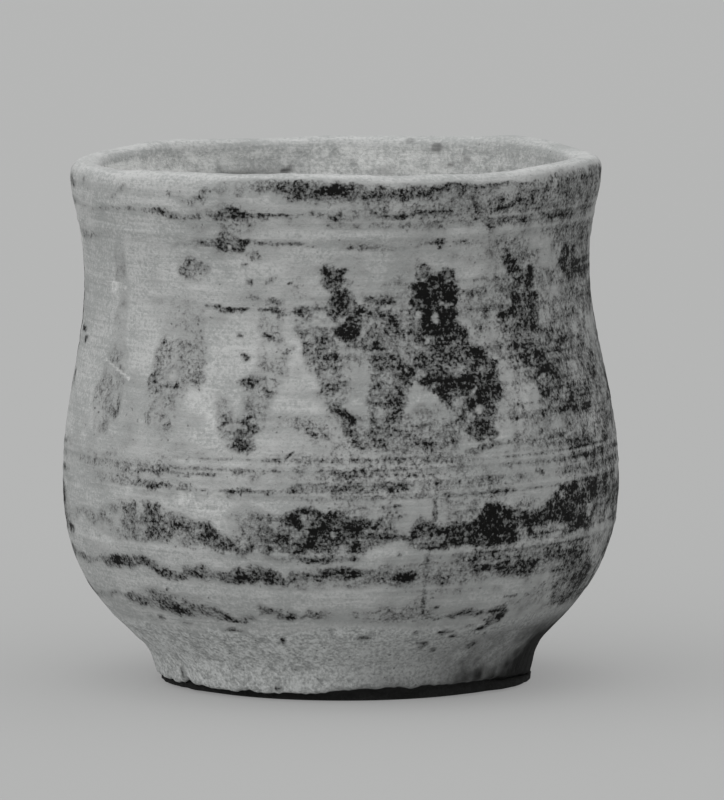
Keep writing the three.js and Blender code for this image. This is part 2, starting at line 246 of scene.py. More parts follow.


# Paint that is left on the side that the camera sees.
# Lines and bands: angle, lower and upper edge from the middle of the band, and how much paint is left, 0 to 1
TRACES = {
    "rim_upper_line": [
        (-75, -0.2, 0.8, 0.12), (-54, -0.3, 0.6, 0.15), (-52, -0.4, 0.6, 0.50), (-50, -0.3, 0.5, 0.10),
        (-40, -0.4, 0.6, 0.08), (-33, -1.4, -0.7, 0.36), (-31, -1.4, 0.2, 0.50), (-28.5, -1.0, 1.0, 0.46),
        (-26, 0.3, 1.8, 0.30), (-20, 0.3, 2.3, 0.25), (-13, 0.8, 2.3, 0.55), (-9, 0.1, 2.3, 0.80),
        (-4, -0.7, 2.3, 0.85), (0, -0.2, 2.3, 0.90), (3, -0.2, 2.1, 0.80), (8, -0.2, 1.8, 0.75),
        (12, -0.2, 1.4, 0.70), (15, -1.7, 1.3, 0.70), (20, -0.4, 0.9, 0.70), (25, 0.1, 1.5, 0.70),
        (30, 0.3, 1.6, 0.55), (40, 0.3, 1.5, 0.50), (50, 0.3, 1.6, 0.50), (60, 0.6, 1.9, 0.50),
        (75, 0.8, 2.1, 0.40),
    ],
    "rim_lower_line": [
        (-75, -0.7, 0.1, 0.20), (-58, -0.6, 0.2, 0.30), (-52, -0.5, 0.5, 0.25), (-48, -0.5, 0.5, 0.30),
        (-42, -0.6, 0.5, 0.40), (-40.5, -0.4, 0.9, 0.80), (-38.5, -0.6, 0.4, 0.38),
        (-35, -1.1, 0.3, 0.40), (-31, -1.1, 0.3, 0.55), (-28.5, -0.7, 0.1, 0.30),
        (-26.5, -0.9, 0.7, 0.85), (-23, -1.5, 1.7, 0.75), (-20, -2.1, 1.5, 0.80),
        (-17.5, -1.9, 0.5, 0.60), (-15, -0.7, 0.3, 0.55), (-10, -0.2, 0.6, 0.65), (-6, 0.3, 1.0, 0.65),
        (-2, -0.9, 1.1, 0.55), (2, -1.1, 0.9, 0.45), (8, -0.5, 0.9, 0.60), (10.5, -0.5, 0.2, 0.75),
        (14, -0.9, 0.5, 0.85), (18, -0.3, 0.4, 0.75), (24, -0.7, 0.5, 0.55), (28, -1.1, 0.7, 0.55),
        (33, -1.1, 0.8, 0.65), (38, -0.5, 0.5, 0.75), (41, 0.0, 1.2, 0.90), (44, 0.3, 1.5, 0.95),
        (46, -0.1, 0.9, 0.30), (50, -1.8, 0.1, 0.50), (54, -2.3, -0.1, 0.50), (58, -3.1, -0.1, 0.35),
        (66, -0.6, 0.7, 0.40), (75, -0.6, 0.4, 0.30),
    ],
    "neck_line": [
        (-60, -0.3, 0.5, 0.06), (-40, -0.3, 0.5, 0.10), (-36, 0.0, 1.0, 0.35), (-33, 0.1, 1.0, 0.72),
        (-30, 0.1, 1.3, 0.72), (-28, -0.3, 1.0, 0.66), (-26, -1.0, 2.9, 0.70), (-23.5, -0.9, 2.7, 0.85),
        (-21, -0.5, 1.4, 0.60), (-19, 0.7, 1.3, 0.70), (-12, 0.5, 1.1, 0.80), (-8, 0.6, 1.2, 0.75),
        (-4.5, 0.4, 1.1, 0.60), (-2, 0.0, 1.0, 0.20), (3, -0.5, 1.2, 0.50), (6, -0.7, 0.8, 0.60),
        (9, -0.8, 0.5, 0.40), (13, -0.8, 0.3, 0.35), (17, -0.5, 0.3, 0.20), (20, 0.1, 0.7, 0.80),
        (24, -0.1, 0.6, 0.80), (26, -0.1, 0.6, 0.30), (28, -0.5, 0.6, 0.65), (31, -0.3, 0.5, 0.50),
        (33, -0.1, 0.5, 0.50), (37, -0.5, 0.2, 0.50), (43.5, -0.5, 0.3, 0.80), (46, -0.5, 0.2, 0.20),
        (60, -1.0, 0.0, 0.20),
    ],
    "belly_line_1": [
        (-75, -0.3, 0.3, 0.10), (-50, -0.3, 0.5, 0.30), (-45, -0.6, 1.2, 0.62), (-38, -0.8, 0.9, 0.68),
        (-31, -0.7, 0.5, 0.64), (-28, -0.6, 0.2, 0.30), (-24.5, -0.6, 0.2, 0.40),
        (-22.5, -0.7, 0.3, 0.80), (-15, -0.8, 0.3, 0.74), (-12, -0.6, 0.4, 0.36), (-9, -0.5, 1.9, 0.54),
        (-4, -0.7, 2.0, 0.50), (2, -0.8, 1.6, 0.50), (6, -0.5, 1.6, 0.54), (10, -0.8, 2.0, 0.56),
        (13, -0.5, 1.4, 0.46), (20, -0.4, 0.6, 0.34), (30, -0.8, -0.2, 0.34), (45, -0.5, 0.5, 0.20),
        (60, -0.5, 0.5, 0.20),
    ],
    "belly_line_2": [
        (-75, -0.3, 0.2, 0.08), (-60, -0.6, 0.2, 0.20), (-52, -0.9, 0.4, 0.48), (-47, -1.0, 0.4, 0.66),
        (-40, -1.0, 0.3, 0.68), (-36, -0.9, 0.0, 0.60), (-25, -0.7, 0.0, 0.60), (-19, -0.3, 0.5, 0.30),
        (-14, -0.3, 0.2, 0.22), (-6, -0.9, 0.2, 0.32), (5, -0.8, 0.3, 0.36), (14, -0.8, 0.3, 0.46),
        (25, -0.4, 0.2, 0.25), (41, -0.1, 0.4, 0.60), (44, -0.1, 0.3, 0.60), (50, -0.5, 1.0, 0.35),
        (56, -1.4, 1.4, 0.50), (62, -1.0, 1.0, 0.30), (75, -0.5, 0.5, 0.20),
    ],
    "belly_line_3": [
        (-75, -0.6, 0.4, 0.06), (-56, 0.3, 1.6, 0.10), (-45, 0.4, 1.8, 0.14), (-36, 0.6, 1.6, 0.16),
        (-26, 0.7, 1.3, 0.18), (-18, 0.6, 1.2, 0.16), (-10, 0.2, 1.4, 0.18), (-3, -0.4, 1.0, 0.22),
        (3, -0.2, 1.4, 0.18), (8, 0.2, 1.6, 0.22), (14, 0.4, 2.0, 0.26), (18, -0.6, 1.2, 0.48),
        (23, -0.6, 1.2, 0.56), (26, -0.4, 0.6, 0.40), (30, 0.7, 2.2, 0.50), (36, 1.1, 2.2, 0.55),
        (45, 1.2, 2.2, 0.55), (50, 1.2, 2.4, 0.70), (55, 0.8, 2.2, 0.60), (66, 0.8, 2.2, 0.45),
        (75, 1.0, 2.0, 0.40),
    ],
    "broad_band": [
        (-75, -2.4, 0.6, 0.12), (-67, 0.1, 1.1, 0.35), (-60, -2.4, 0.6, 0.20), (-53, -4.4, 4.1, 0.27),
        (-49, -3.9, 4.1, 0.40), (-45, -4.4, 4.1, 0.44), (-42, -3.9, 4.1, 0.62), (-40, -3.9, 4.1, 0.62),
        (-37, -4.2, 2.6, 0.54), (-34, -4.4, 2.6, 0.54), (-31, -4.6, 0.6, 0.60), (-28, -4.9, 1.1, 0.72),
        (-26, -4.9, -1.4, 0.66), (-24, -4.9, -1.4, 0.50), (-20, -5.4, -1.9, 0.60), (-17, -5.4, 2.6, 0.40),
        (-13, -6.2, 2.2, 0.62), (-11, -6.4, 2.6, 0.74), (-8, -6.4, 4.2, 0.86), (-5, -6.5, 4.2, 0.84),
        (-3, -6.3, 2.9, 0.86), (0, -6.5, 2.8, 0.96), (3, -6.3, 2.2, 0.88), (5, -4.2, 2.0, 0.70),
        (9, -3.0, 1.2, 0.64), (13, -2.9, -1.0, 0.50), (17, -4.9, 2.1, 0.68), (19, -5.4, 0.6, 0.78),
        (21, -4.4, -0.4, 1.05), (24, -3.9, -0.1, 1.20), (28, -4.4, 0.6, 1.25), (31, -5.1, 4.1, 1.20),
        (35, -5.2, 3.6, 1.20), (38, -4.9, 1.8, 1.10), (40, -3.9, 1.6, 1.05), (45, -2.4, 1.6, 1.00),
        (48, -1.9, 3.4, 0.95), (52, -2.4, 5.6, 0.95), (56, -4.1, 5.9, 0.95), (60, -4.1, 5.8, 1.00),
        (64, -3.4, 5.6, 0.85), (67, -0.4, 6.1, 0.75), (72, -0.4, 6.1, 0.75), (75, -0.4, 4.6, 0.70),
    ],
    "medium_band": [
        (-75, -1.1, -0.1, 0.40), (-69, -1.1, -0.1, 0.65), (-65, -0.9, 0.1, 0.45), (-61, -0.9, 1.1, 0.40),
        (-58, -1.6, 1.6, 0.75), (-54, -1.1, 1.9, 0.75), (-50, -0.7, 2.1, 0.75), (-46, -0.1, 1.9, 0.65),
        (-43, -0.9, 1.3, 0.50), (-40, -1.9, 0.1, 0.60), (-36, -2.1, -0.5, 0.60), (-33, -1.9, 0.6, 0.50),
        (-30, -2.1, 1.1, 0.55), (-26, -2.3, -0.4, 0.55), (-22, -2.5, 0.6, 0.65), (-19, -2.4, 1.1, 0.75),
        (-15, -2.3, 1.1, 0.65), (-12, -2.1, -0.9, 0.60), (-9.5, -1.9, 1.1, 0.65), (-6, -2.3, 0.1, 0.55),
        (-2, -1.7, 1.1, 0.65), (2, -1.5, 0.6, 0.75), (4, -1.4, 0.1, 0.60), (7, -1.9, 1.1, 0.50),
        (10, -1.4, 0.1, 0.80), (12, -2.3, 0.1, 0.85), (15, -2.4, -0.4, 0.70), (18, -0.9, -0.3, 0.45),
        (24, -0.9, 0.1, 0.50), (27, -1.9, 0.6, 0.50), (31, -2.3, 0.9, 0.65), (35, -2.1, 1.1, 0.85),
        (40, -2.4, 1.1, 0.85), (44, -2.3, -0.1, 0.80), (48, -1.5, 0.9, 0.75), (52, -0.7, 1.1, 0.75),
        (55, -1.4, 1.1, 0.80), (59, -2.4, 1.1, 0.85), (61, -4.9, -0.9, 0.50), (64, -6.9, -3.9, 0.45),
        (70, -5.4, -4.4, 0.35), (75, -5.9, -4.9, 0.25),
    ],
    "lower_line": [
        (-75, -0.6, 0.1, 0.30), (-65, 0.2, 1.1, 0.35), (-60, 0.9, 1.9, 0.25), (-56, -0.6, 1.4, 0.50),
        (-53, -0.6, 2.4, 0.80), (-50, -1.1, 2.2, 0.75), (-47, -1.1, 2.6, 0.85), (-45, -1.2, 2.9, 0.88),
        (-42, -1.5, 2.2, 0.95), (-38, -1.7, 1.5, 0.92), (-35, -2.0, 0.6, 0.80), (-32, -1.4, 1.0, 0.70),
        (-29, -2.0, 0.6, 0.85), (-27, -2.2, -0.6, 0.65), (-24, -2.3, -1.3, 0.60), (-22, -2.2, -1.2, 0.60),
        (-20, -1.6, -0.8, 0.35), (-18, -0.6, 1.7, 0.40), (-16, -1.3, 0.9, 0.45), (-13, -1.9, -0.1, 0.40),
        (-11, -2.1, 0.7, 0.90), (-9, -2.1, -0.6, 0.55), (-7, -0.8, 0.7, 0.50), (-4, -3.1, 0.9, 0.25),
        (0, -1.1, -0.1, 0.10), (2.5, -0.9, -0.1, 0.45), (5, -2.1, -1.1, 0.15), (9, -1.9, -1.3, 0.45),
        (13, -1.9, -1.3, 0.50), (17, -2.1, -1.1, 0.40), (20, -2.1, -1.3, 0.70), (27, -1.9, -1.2, 0.80),
        (30, -1.9, -0.3, 0.70), (35, -1.8, -1.2, 0.55), (38, -2.6, -0.8, 0.85), (40, -3.3, -1.6, 0.90),
        (42, -3.1, -2.1, 0.50), (45, 0.9, 1.7, 0.30), (60, 0.0, 1.0, 0.10),
    ],
}

# Brush strokes of the frieze from the top down: height over its foot, left and right edge, paint left
FRONT_STROKES = [
    [(38.5, -57.5, -56, 0.12), (34, -60, -54, 0.22), (28, -59, -54.5, 0.18), (20, -59.5, -54, 0.18),
     (16, -61, -53, 0.27), (10, -65, -53, 0.26), (6, -66, -54, 0.24), (2, -63, -56.5, 0.20),
     (0, -60, -58.5, 0.12)],
    [(27, -40, -31, 0.15), (24, -42, -30.5, 0.20), (18, -44, -30, 0.23), (12, -45.5, -30.5, 0.26),
     (9.5, -46, -34.5, 0.25), (6, -46, -36, 0.22), (2, -45, -37.5, 0.18), (-1, -43, -39, 0.12)],
    [(10.5, -27, -25.5, 0.24), (8, -27, -23.5, 0.38), (5, -26.5, -22.5, 0.44), (1.5, -25, -20.5, 0.46),
     (-1, -23, -20.5, 0.30)],
    [(28, -17, -12, 0.24), (22, -17.5, -12, 0.31), (16, -18, -11, 0.27), (12, -21, -12, 0.32),
     (9.5, -21, -14, 0.30), (6, -21, -15.5, 0.38), (3, -22.5, -17, 0.45), (0, -22.5, -18, 0.44),
     (-1, -21.5, -19, 0.28)],
    [(24.6, -10, -2, 0.46), (22.5, -9.7, -1.6, 0.54), (17.8, -8, 0, 0.56), (13.8, -6, 1.7, 0.58),
     (10, -3.2, 2.4, 0.62), (6.8, -0.8, 2.6, 0.74), (3.8, 0.8, 3.6, 0.82), (1, 2.8, 4.8, 0.78),
     (-0.6, 4.0, 5.6, 0.56)],
    [(35, -3, -1, 0.55), (33.5, -4, 1.5, 0.78), (31, -3, 3, 0.70), (28.5, -1.5, 4.2, 0.66),
     (26, -4, 4.6, 0.84), (24, -1.2, 4.8, 0.90), (21.5, -0.4, 4.6, 0.86), (19.8, 1.4, 4.2, 0.60),
     (18.8, 2.4, 3.6, 0.30)],
    [(27, 6, 13, 0.44), (25, 6, 14, 0.60), (20, 7, 14.8, 0.72), (16, 6.6, 14.8, 0.70),
     (12, 6.6, 15, 0.62), (9, 6.6, 15, 0.56), (6.5, 6.6, 13.6, 0.68), (3, 6.7, 13.3, 0.72),
     (1, 7, 12.8, 0.55), (0.2, 7.5, 12, 0.30)],
    [(34, 17.6, 21, 0.60), (32.5, 17.2, 27.4, 0.84), (30.5, 16.8, 27.6, 0.90), (28, 16.2, 28, 0.90),
     (25, 15.4, 28.4, 0.86), (21.5, 14.8, 29.4, 0.80), (18, 14.6, 31, 0.76), (15.6, 14.6, 37, 0.76),
     (13, 15.2, 37.2, 0.76), (11.6, 18.6, 37.2, 0.80), (9.8, 21, 37, 0.84), (6, 23.3, 36, 0.84),
     (3, 25.7, 34.8, 0.80), (1.2, 28, 34.2, 0.70), (-0.2, 30, 33.6, 0.45)],
    [(35, 39, 42, 0.50), (33.8, 40, 46.5, 0.74), (31.5, 42, 50, 0.82), (29, 43.2, 51, 0.79),
     (26.5, 43, 52.6, 0.84), (24.5, 41, 51.4, 0.76), (22, 38.6, 51.6, 0.74), (19, 39.8, 52, 0.68),
     (16, 43.2, 53.3, 0.72), (12, 46, 55.4, 0.76), (8, 47.3, 56.7, 0.80), (5, 50, 56.6, 0.73),
     (4, 53, 56, 0.50), (3.4, 54.6, 55.6, 0.28)],
    [(24, 70, 74, 0.30), (18, 66, 76, 0.38), (14, 69, 76, 0.58), (11, 69.5, 75.5, 0.54),
     (6, 70, 76, 0.52), (3, 70.5, 75, 0.50), (1, 71, 74, 0.30)],
]

# Thicker or stray paint: angle, height over the frieze's foot, half width, half height and paint left
BLOTS = [
    (-57.5, 15.5, 2.8, 1.4, 0.46), (-56, 6.8, 1.6, 2.0, 0.46), (-39, 10.9, 3.0, 0.7, 0.60),
    (-44, 12.6, 1.2, 1.8, 0.46), (-31.6, 12.8, 1.4, 2.0, 0.42), (-44.4, 4.9, 1.2, 0.9, 0.46),
    (-39, 3.9, 0.8, 1.6, 0.46), (-40, 5.6, 3.0, 0.5, 0.36), (-43, 7.5, 1.0, 1.5, 0.36),
    (-34, 33, 3.6, 2.6, 0.40), (-34.6, 34.5, 1.2, 0.7, 0.56), (-35, 31.8, 1.2, 0.8, 0.56),
    (-32, 32, 1.6, 1.0, 0.40), (-18.7, 36.6, 1.6, 1.0, 0.66), (-20.8, 34.4, 0.7, 0.6, 0.55),
    (-14.5, 31.8, 1.2, 0.6, 0.50), (-10.4, 30.6, 0.6, 0.5, 0.65), (-20, 31.6, 0.8, 0.5, 0.50),
    (-15.6, 21, 1.0, 0.8, 0.82), (-20.6, 17.3, 0.6, 1.0, 0.92), (-19.5, 12.2, 2.0, 1.3, 0.66),
    (-16.5, 10.4, 2.2, 0.9, 0.58), (-19, 4.8, 1.6, 1.6, 0.80), (-20.8, 1, 2.4, 1.3, 0.74),
    (-24.5, 4.6, 1.2, 1.8, 0.74), (-11, 18.8, 0.8, 0.7, 0.62), (-21.8, 21.2, 0.6, 0.5, 0.62),
    (-14, 28, 1.6, 0.8, 0.5), (-10, -1.2, 0.5, 0.5, 0.80), (24.4, 29.8, 1.3, 1.4, 0.98),
    (26.6, 31.2, 0.9, 0.9, 0.95), (22.5, 27.6, 2.4, 1.2, 0.98), (16.6, 24.5, 1.0, 4.2, 0.96),
    (15, 12.5, 0.9, 1.6, 0.86), (30, 9.6, 2.4, 1.4, 0.94), (27, 19.6, 3.0, 2.6, 0.95),
    (30.5, 15.6, 2.8, 3.0, 0.95), (34, 11.8, 2.4, 2.6, 0.9), (48.5, 31.4, 1.8, 1.1, 0.88),
    (44.8, 28.8, 1.0, 1.3, 0.92), (48.5, 26.6, 4.2, 0.5, 0.88), (41.4, 23.4, 3.0, 1.0, 0.88),
    (45.6, 24.8, 1.6, 1.0, 0.78), (51, 10.6, 2.2, 2.4, 0.74), (55, 8, 1.4, 2.0, 0.70),
    (63.2, 33.0, 2.2, 2.8, 1.5), (64.6, 31.4, 1.2, 1.2, 0.98), (70, 27.2, 2.6, 1.5, 0.55),
    (64.2, 21.6, 2.2, 0.5, 0.94), (32, 35.4, 0.8, 0.5, 0.68), (38, 31.9, 0.7, 0.5, 0.62),
    (23.5, 37, 0.8, 0.6, 0.55), (58.5, 1.4, 0.8, 0.4, 0.85), (46.8, 1.2, 0.8, 0.5, 0.80),
    (-24, 25.9, 3.4, 0.5, 0.76), (-29, 26.6, 2.0, 0.6, 0.74), (-14, 25.7, 3.2, 0.6, 0.85),
    (-7, 25.9, 2.8, 1.0, 1.1), (6, 26.2, 2.4, 0.7, 0.78), (9.6, 27.4, 3.0, 0.8, 0.66),
    (44.5, -6.4, 0.7, 0.7, 0.72), (30.5, -8.2, 0.6, 0.4, 0.60), (10.5, -8.5, 0.8, 0.7, 0.80),
    (11, -10.9, 1.6, 0.5, 0.80), (11, -13, 1.4, 0.5, 0.64), (12, -19.7, 0.8, 0.5, 0.88),
    (7.4, -13.4, 0.5, 1.0, 0.70), (2, -12.4, 0.8, 2.0, 0.70), (-52.5, -6.6, 0.7, 0.3, 0.80),
    (-41, -27.2, 0.5, 0.4, 0.82), (-52, -34, 1.2, 0.4, 0.45), (-47.5, -34, 1.6, 0.5, 0.82),
    (-40, -34.4, 1.5, 0.5, 0.42), (-27, -35.5, 2.6, 0.6, 0.55), (-15, -37.4, 0.6, 0.7, 0.78),
    (-2, -35.2, 0.5, 0.5, 0.62), (5.5, -36.9, 1.2, 0.5, 0.88), (18.5, -36.6, 0.8, 0.4, 0.62),
    (21, -34.6, 0.8, 0.3, 0.72), (22, -30.6, 0.6, 0.4, 0.64), (26, -36, 1.2, 0.5, 0.52),
    (31.5, -35.7, 1.0, 0.4, 0.62), (36.5, -34.4, 1.1, 0.5, 0.66), (38, -35.6, 1.2, 0.5, 0.52),
    (35.6, -40, 2.2, 0.5, 0.80), (40, -29.8, 2.0, 0.4, 0.72), (-37.7, 47.4, 0.5, 0.8, 0.62),
    (-55.7, 46.4, 0.9, 0.5, 0.60), (-70, 48.2, 1.0, 0.5, 0.45), (-29.5, 46.6, 0.5, 0.9, 0.80),
    (24.6, -36.8, 0.9, 0.4, 0.86), (24.8, -40.0, 0.8, 0.4, 0.80), (21, -38.8, 1.4, 0.5, 0.60),
    (28, -37.2, 1.0, 0.6, 0.66), (35, -37.0, 1.2, 0.5, 0.70), (37.2, -35.3, 1.0, 1.4, 0.75),
    (40, -33.6, 1.7, 2.0, 0.85), (-20, -46.6, 0.7, 0.4, 0.62), (60, -27, 3.4, 2.4, 0.52),
    (-57, -46.4, 1.2, 0.8, 0.6),
]

# Pale scars where slip has come off: angle, height over the frieze's foot, half width, half height, strength
SCARS = [
    (-4.4, 23.4, 2.0, 1.3, 1.0), (-58.6, 28.8, 2.6, 1.0, 0.9), (-61, 28.2, 1.6, 0.5, 0.6),
    (-29, 7, 3.4, 4.6, 0.6), (-30.5, 3, 3.0, 3.0, 0.45), (-27.5, 21, 2.8, 4.0, 0.42),
    (-27, 16, 1.8, 1.4, 0.7), (-42, 7.8, 2.2, 1.8, 0.6), (-39, 12.8, 2.2, 1.2, 0.6),
    (-21, 2.2, 0.9, 0.9, 0.7), (-49, 2, 4.0, 5.0, 0.35), (17.8, 5.5, 2.4, 3.0, 0.5),
    (31.6, 6.2, 1.4, 1.0, 0.85), (25.6, 13.8, 0.7, 0.7, 0.7), (18.4, 18.4, 2.2, 0.5, 0.55),
    (28, 25.2, 1.3, 1.2, 0.5), (22.3, 29.8, 0.8, 0.6, 0.6), (25.4, 32, 1.0, 0.8, 0.7),
    (47, 22.8, 0.6, 0.5, 0.6), (4, 12, 1.8, 6.0, 0.5), (3, 27.6, 1.1, 1.1, 0.65),
    (5.4, 18, 1.2, 2.4, 0.45), (36.6, 17.4, 1.8, 1.2, 0.55), (38, 16, 1.6, 1.4, 0.45),
    (57.5, 10.8, 1.2, 0.8, 0.5), (-33, -9.4, 3.6, 1.6, 0.72), (-31.4, -8.8, 1.4, 1.0, 0.85),
    (-25.4, -9.4, 2.2, 2.2, 0.72), (-24.8, -12.6, 1.8, 2.0, 0.66), (-29, -11.2, 2.4, 1.2, 0.6),
    (-49, -9, 2.6, 1.1, 0.8), (-19, -15.2, 1.0, 0.8, 0.6), (-14.4, -16, 1.2, 1.4, 0.55),
    (-22, -13.6, 1.6, 0.8, 0.6), (24, -11.6, 1.5, 1.1, 0.6), (10.8, -7.1, 0.6, 0.5, 0.9),
    (20.6, -13, 0.5, 1.0, 0.6), (-48, -29.4, 1.2, 0.7, 0.7), (-52.5, -29.2, 0.9, 0.6, 0.6),
    (50, -19, 6.0, 1.6, 0.35), (64, -18.4, 5.0, 2.0, 0.35), (12, -28.4, 0.8, 0.5, 0.6),
    (-44, -26.6, 6.0, 1.0, 0.5), (-24.3, 37.8, 0.7, 0.6, 0.95), (-56, 45.4, 4.0, 0.8, 0.5),
    (-12, 35, 4.0, 1.6, 0.35),
]

# Broad thin smears of rubbed paint: angle, height over the frieze's foot, half width, half height, strength
SMEARS = [
    (10, 45.5, 26, 5, 0.16), (40, 44, 14, 5, 0.12), (2, 48.4, 14, 2.2, 0.30), (18, 47.6, 12, 2.2, 0.22),
    (-22, 43.6, 7, 3.4, 0.12), (8, 43.4, 12, 2.4, 0.14), (30, 43.6, 14, 2.0, 0.14),
    (-26, 41, 10, 5, 0.10), (-26, -5, 34, 5, 0.19), (12, -3, 14, 7, 0.18), (-50, -2, 16, 7, 0.13),
    (-15, -1.6, 48, 1.3, -0.15), (-8, -5, 22, 5, 0.06), (-13, 2, 10, 6, 0.18), (62, 18, 8, 24, 0.05),
    (26, 20, 20, 18, 0.06), (-17, 20, 9, 12, 0.05), (37, 13, 4, 10, -0.14), (14, 18, 6, 7, 0.12),
    (33, 25, 4, 4, 0.16), (25, 17.5, 5, 4, 0.36), (10, 21, 4.5, 4.5, 0.3), (8, 3.5, 26, 4.5, 0.13),
    (-45, 3, 22, 5, 0.08), (24, 41, 7, 4, 0.12), (66, -2, 12, 12, 0.16), (32, -1.5, 6, 4, -0.2),
    (-19, -15, 5, 5, 0.32), (-12, -24.6, 30, 2.4, 0.28), (20, -28, 26, 3, -0.2), (20, 34, 40, 6, -0.04),
    (-25, 12, 6, 12, -0.06), (-6, -17, 7, 6, 0.18), (32, -16, 8, 5, 0.20), (62, -29, 8, 6, 0.26),
    (-40, -31, 12, 4, 0.10), (-42, -30, 9, 2.4, 0.22),
]

# Dark smudges inside, under the lip: angle, height over the frieze's foot, half width, half height, strength
INSIDE_SPOTS = [
    (161, 49.4, 1.4, 0.5, 0.4), (154, 48.6, 1.6, 1.0, 0.45), (150, 46.0, 0.8, 0.6, 0.4),
    (145, 46.8, 1.4, 1.0, 0.35), (134, 44.6, 1.6, 0.8, 0.35), (168, 44.0, 3.0, 0.8, 0.3),
    (-138, 49.0, 1.8, 0.4, 0.3), (-167, 44.4, 1.8, 0.9, 0.45), (-150, 44.2, 16, 1.2, 0.32),
    (-120, 44.8, 12, 1.4, 0.34), (-149, 46.0, 0.8, 1.0, 0.3),
]

# Thin pale scratches: two ends, each an angle and a height over the frieze's foot, half width, strength
SCRATCHES = [((-62.4, 15.0), (-51.5, 11.8), 0.26, 0.9), ((-10.6, 24.6), (-8.6, 16.8), 0.22, 0.5)]

# A hairline crack down the front: angle and height over the frieze's foot, then its half width and darkness
CRACK = [(20.4, -2), (19.6, -8), (19.4, -14), (18.0, -18), (17.6, -24), (18.2, -29), (18.6, -33)]
CRACK_HALF = 0.25
CRACK_DARK = 0.62

# Wheel marks that stand proud of the wall or cut into it: height, half width and rise
RIDGES = [
    (NECK_SEAM + 0.6, 0.5, 0.2), (NECK_SEAM - 1.2, 0.35, -0.12), (NECK_SEAM + 3.6, 0.4, 0.08),
    (FRIEZE_FOOT + 25.7, 0.35, -0.14), (BELLY_SEAM + 0.4, 0.55, 0.2),
    (BELLY_SEAM - 1.8, 0.4, 0.16), (BELLY_SEAM - 4.6, 0.5, 0.18), (middle_of("medium_band") + 3.4, 0.6, 0.2),
    (middle_of("lower_line") - 1.9, 0.35, -0.1),
]

# How softly marks end: in millimetres for bands and strokes, in half sizes for spots and lines
EDGE_SOFT = 0.55
EDGE_SHARE = 0.3
STROKE_SOFT = 0.8
SPOT_CORE = 0.6
SPOT_END = 1.3
LINE_END = 2.2

# Layers of drift that break up painted edges, thin the paint and move the edge of the slip, which fades out
RAGGED_TURN = [(0.7, 7, 2.6, 1), (0.8, 2.4, 1.1, 2)]
RAGGED_RISE = [(0.45, 5, 2.2, 3), (0.4, 1.7, 0.9, 4)]
PAINT_PATCHES = [(0.3, 7, 4, 11), (0.34, 2.6, 1.8, 12)]
SLIP_EDGE_WAVES = [(1.1, 18, 30, 21), (0.8, 5, 30, 22), (0.5, 1.8, 2, 23)]
SLIP_EDGE_FADE = (-1.4, 1.6)


def ragged(angle, height):
    """The place that a point takes its paint from, so that painted edges break up."""
    return angle + layers(angle, height, RAGGED_TURN), height + layers(angle, height, RAGGED_RISE)


def trace_amount(angle, height, middle, trace):
    """Paint left of a line or band whose edges and wear change round the vessel."""
    turns, *columns = np.array(trace).T
    low, high, left = (np.interp(angle, turns, column, period=360) for column in columns)
    over = height - middle
    soft = np.clip(EDGE_SHARE * (high - low), EDGE_SOFT, 2 * EDGE_SOFT)
    return left * step(over - low, -soft, soft) * step(high - over, -soft, soft)


def stroke_amount(angle, height, rows):
    """Paint left of a brush stroke between its left and right edge."""
    ups, lefts, rights, kept = np.array(rows[::-1]).T
    up = height - FRIEZE_FOOT
    past_left = arc_from(angle, np.interp(up, ups, lefts), height)
    short_of_right = -arc_from(angle, np.interp(up, ups, rights), height)
    across = step(past_left, -STROKE_SOFT, STROKE_SOFT) * step(short_of_right, -STROKE_SOFT, STROKE_SOFT)
    return np.interp(up, ups, kept, left=0, right=0) * across


def spot_amount(angle, height, spot):
    """A soft round or oval spot at an angle and a height over the frieze's foot."""
    turn, up, wide, tall, strength = spot
    away = np.hypot(arc_from(angle, turn, height) / wide, (height - FRIEZE_FOOT - up) / tall)
    return strength * (1 - step(away, SPOT_CORE, SPOT_END))


def line_amount(angle, height, ends, half):
    """A thin straight line between two places."""
    (turn_a, up_a), (turn_b, up_b) = ends
    aside = arc_from(angle, turn_a, height)
    up = height - FRIEZE_FOOT - up_a
    run = (turn_b - turn_a) * math.radians(1) * outer_radius(FRIEZE_FOOT + up_a)
    climb = up_b - up_a
    along = np.clip((aside * run + up * climb) / (run ** 2 + climb ** 2), 0, 1)
    return 1 - step(np.hypot(aside - along * run, up - along * climb), half, half * LINE_END)


# The side that the camera doesn't see is drawn at random, worn much as the front is

FRONT_LIMIT = 76.0
HIDDEN_FROM = FRONT_LIMIT + 4
HIDDEN_TO = 360 - HIDDEN_FROM

# A brush stroke at the back: share of the frieze's height and half width
HIDDEN_STROKE = [(0.96, 1.0), (0.7, 4.6), (0.36, 5.4), (0.14, 2.6), (0.0, 0.5)]


def hidden_trace(node):
    """A line or band round the back."""
    draw = np.random.default_rng(SEED + sum(map(ord, node)))
    low, high = height_span(node)
    reach = (high - low) / 2
    found = []
    at = HIDDEN_FROM
    while at < HIDDEN_TO:
        lower = -reach * draw.uniform(0.3, 1.1)
        upper = reach * draw.uniform(0.3, 1.1)
        found.append((at, lower, upper, draw.uniform(0.15, 0.95)))
        at += draw.uniform(2.5, 8)
    return found


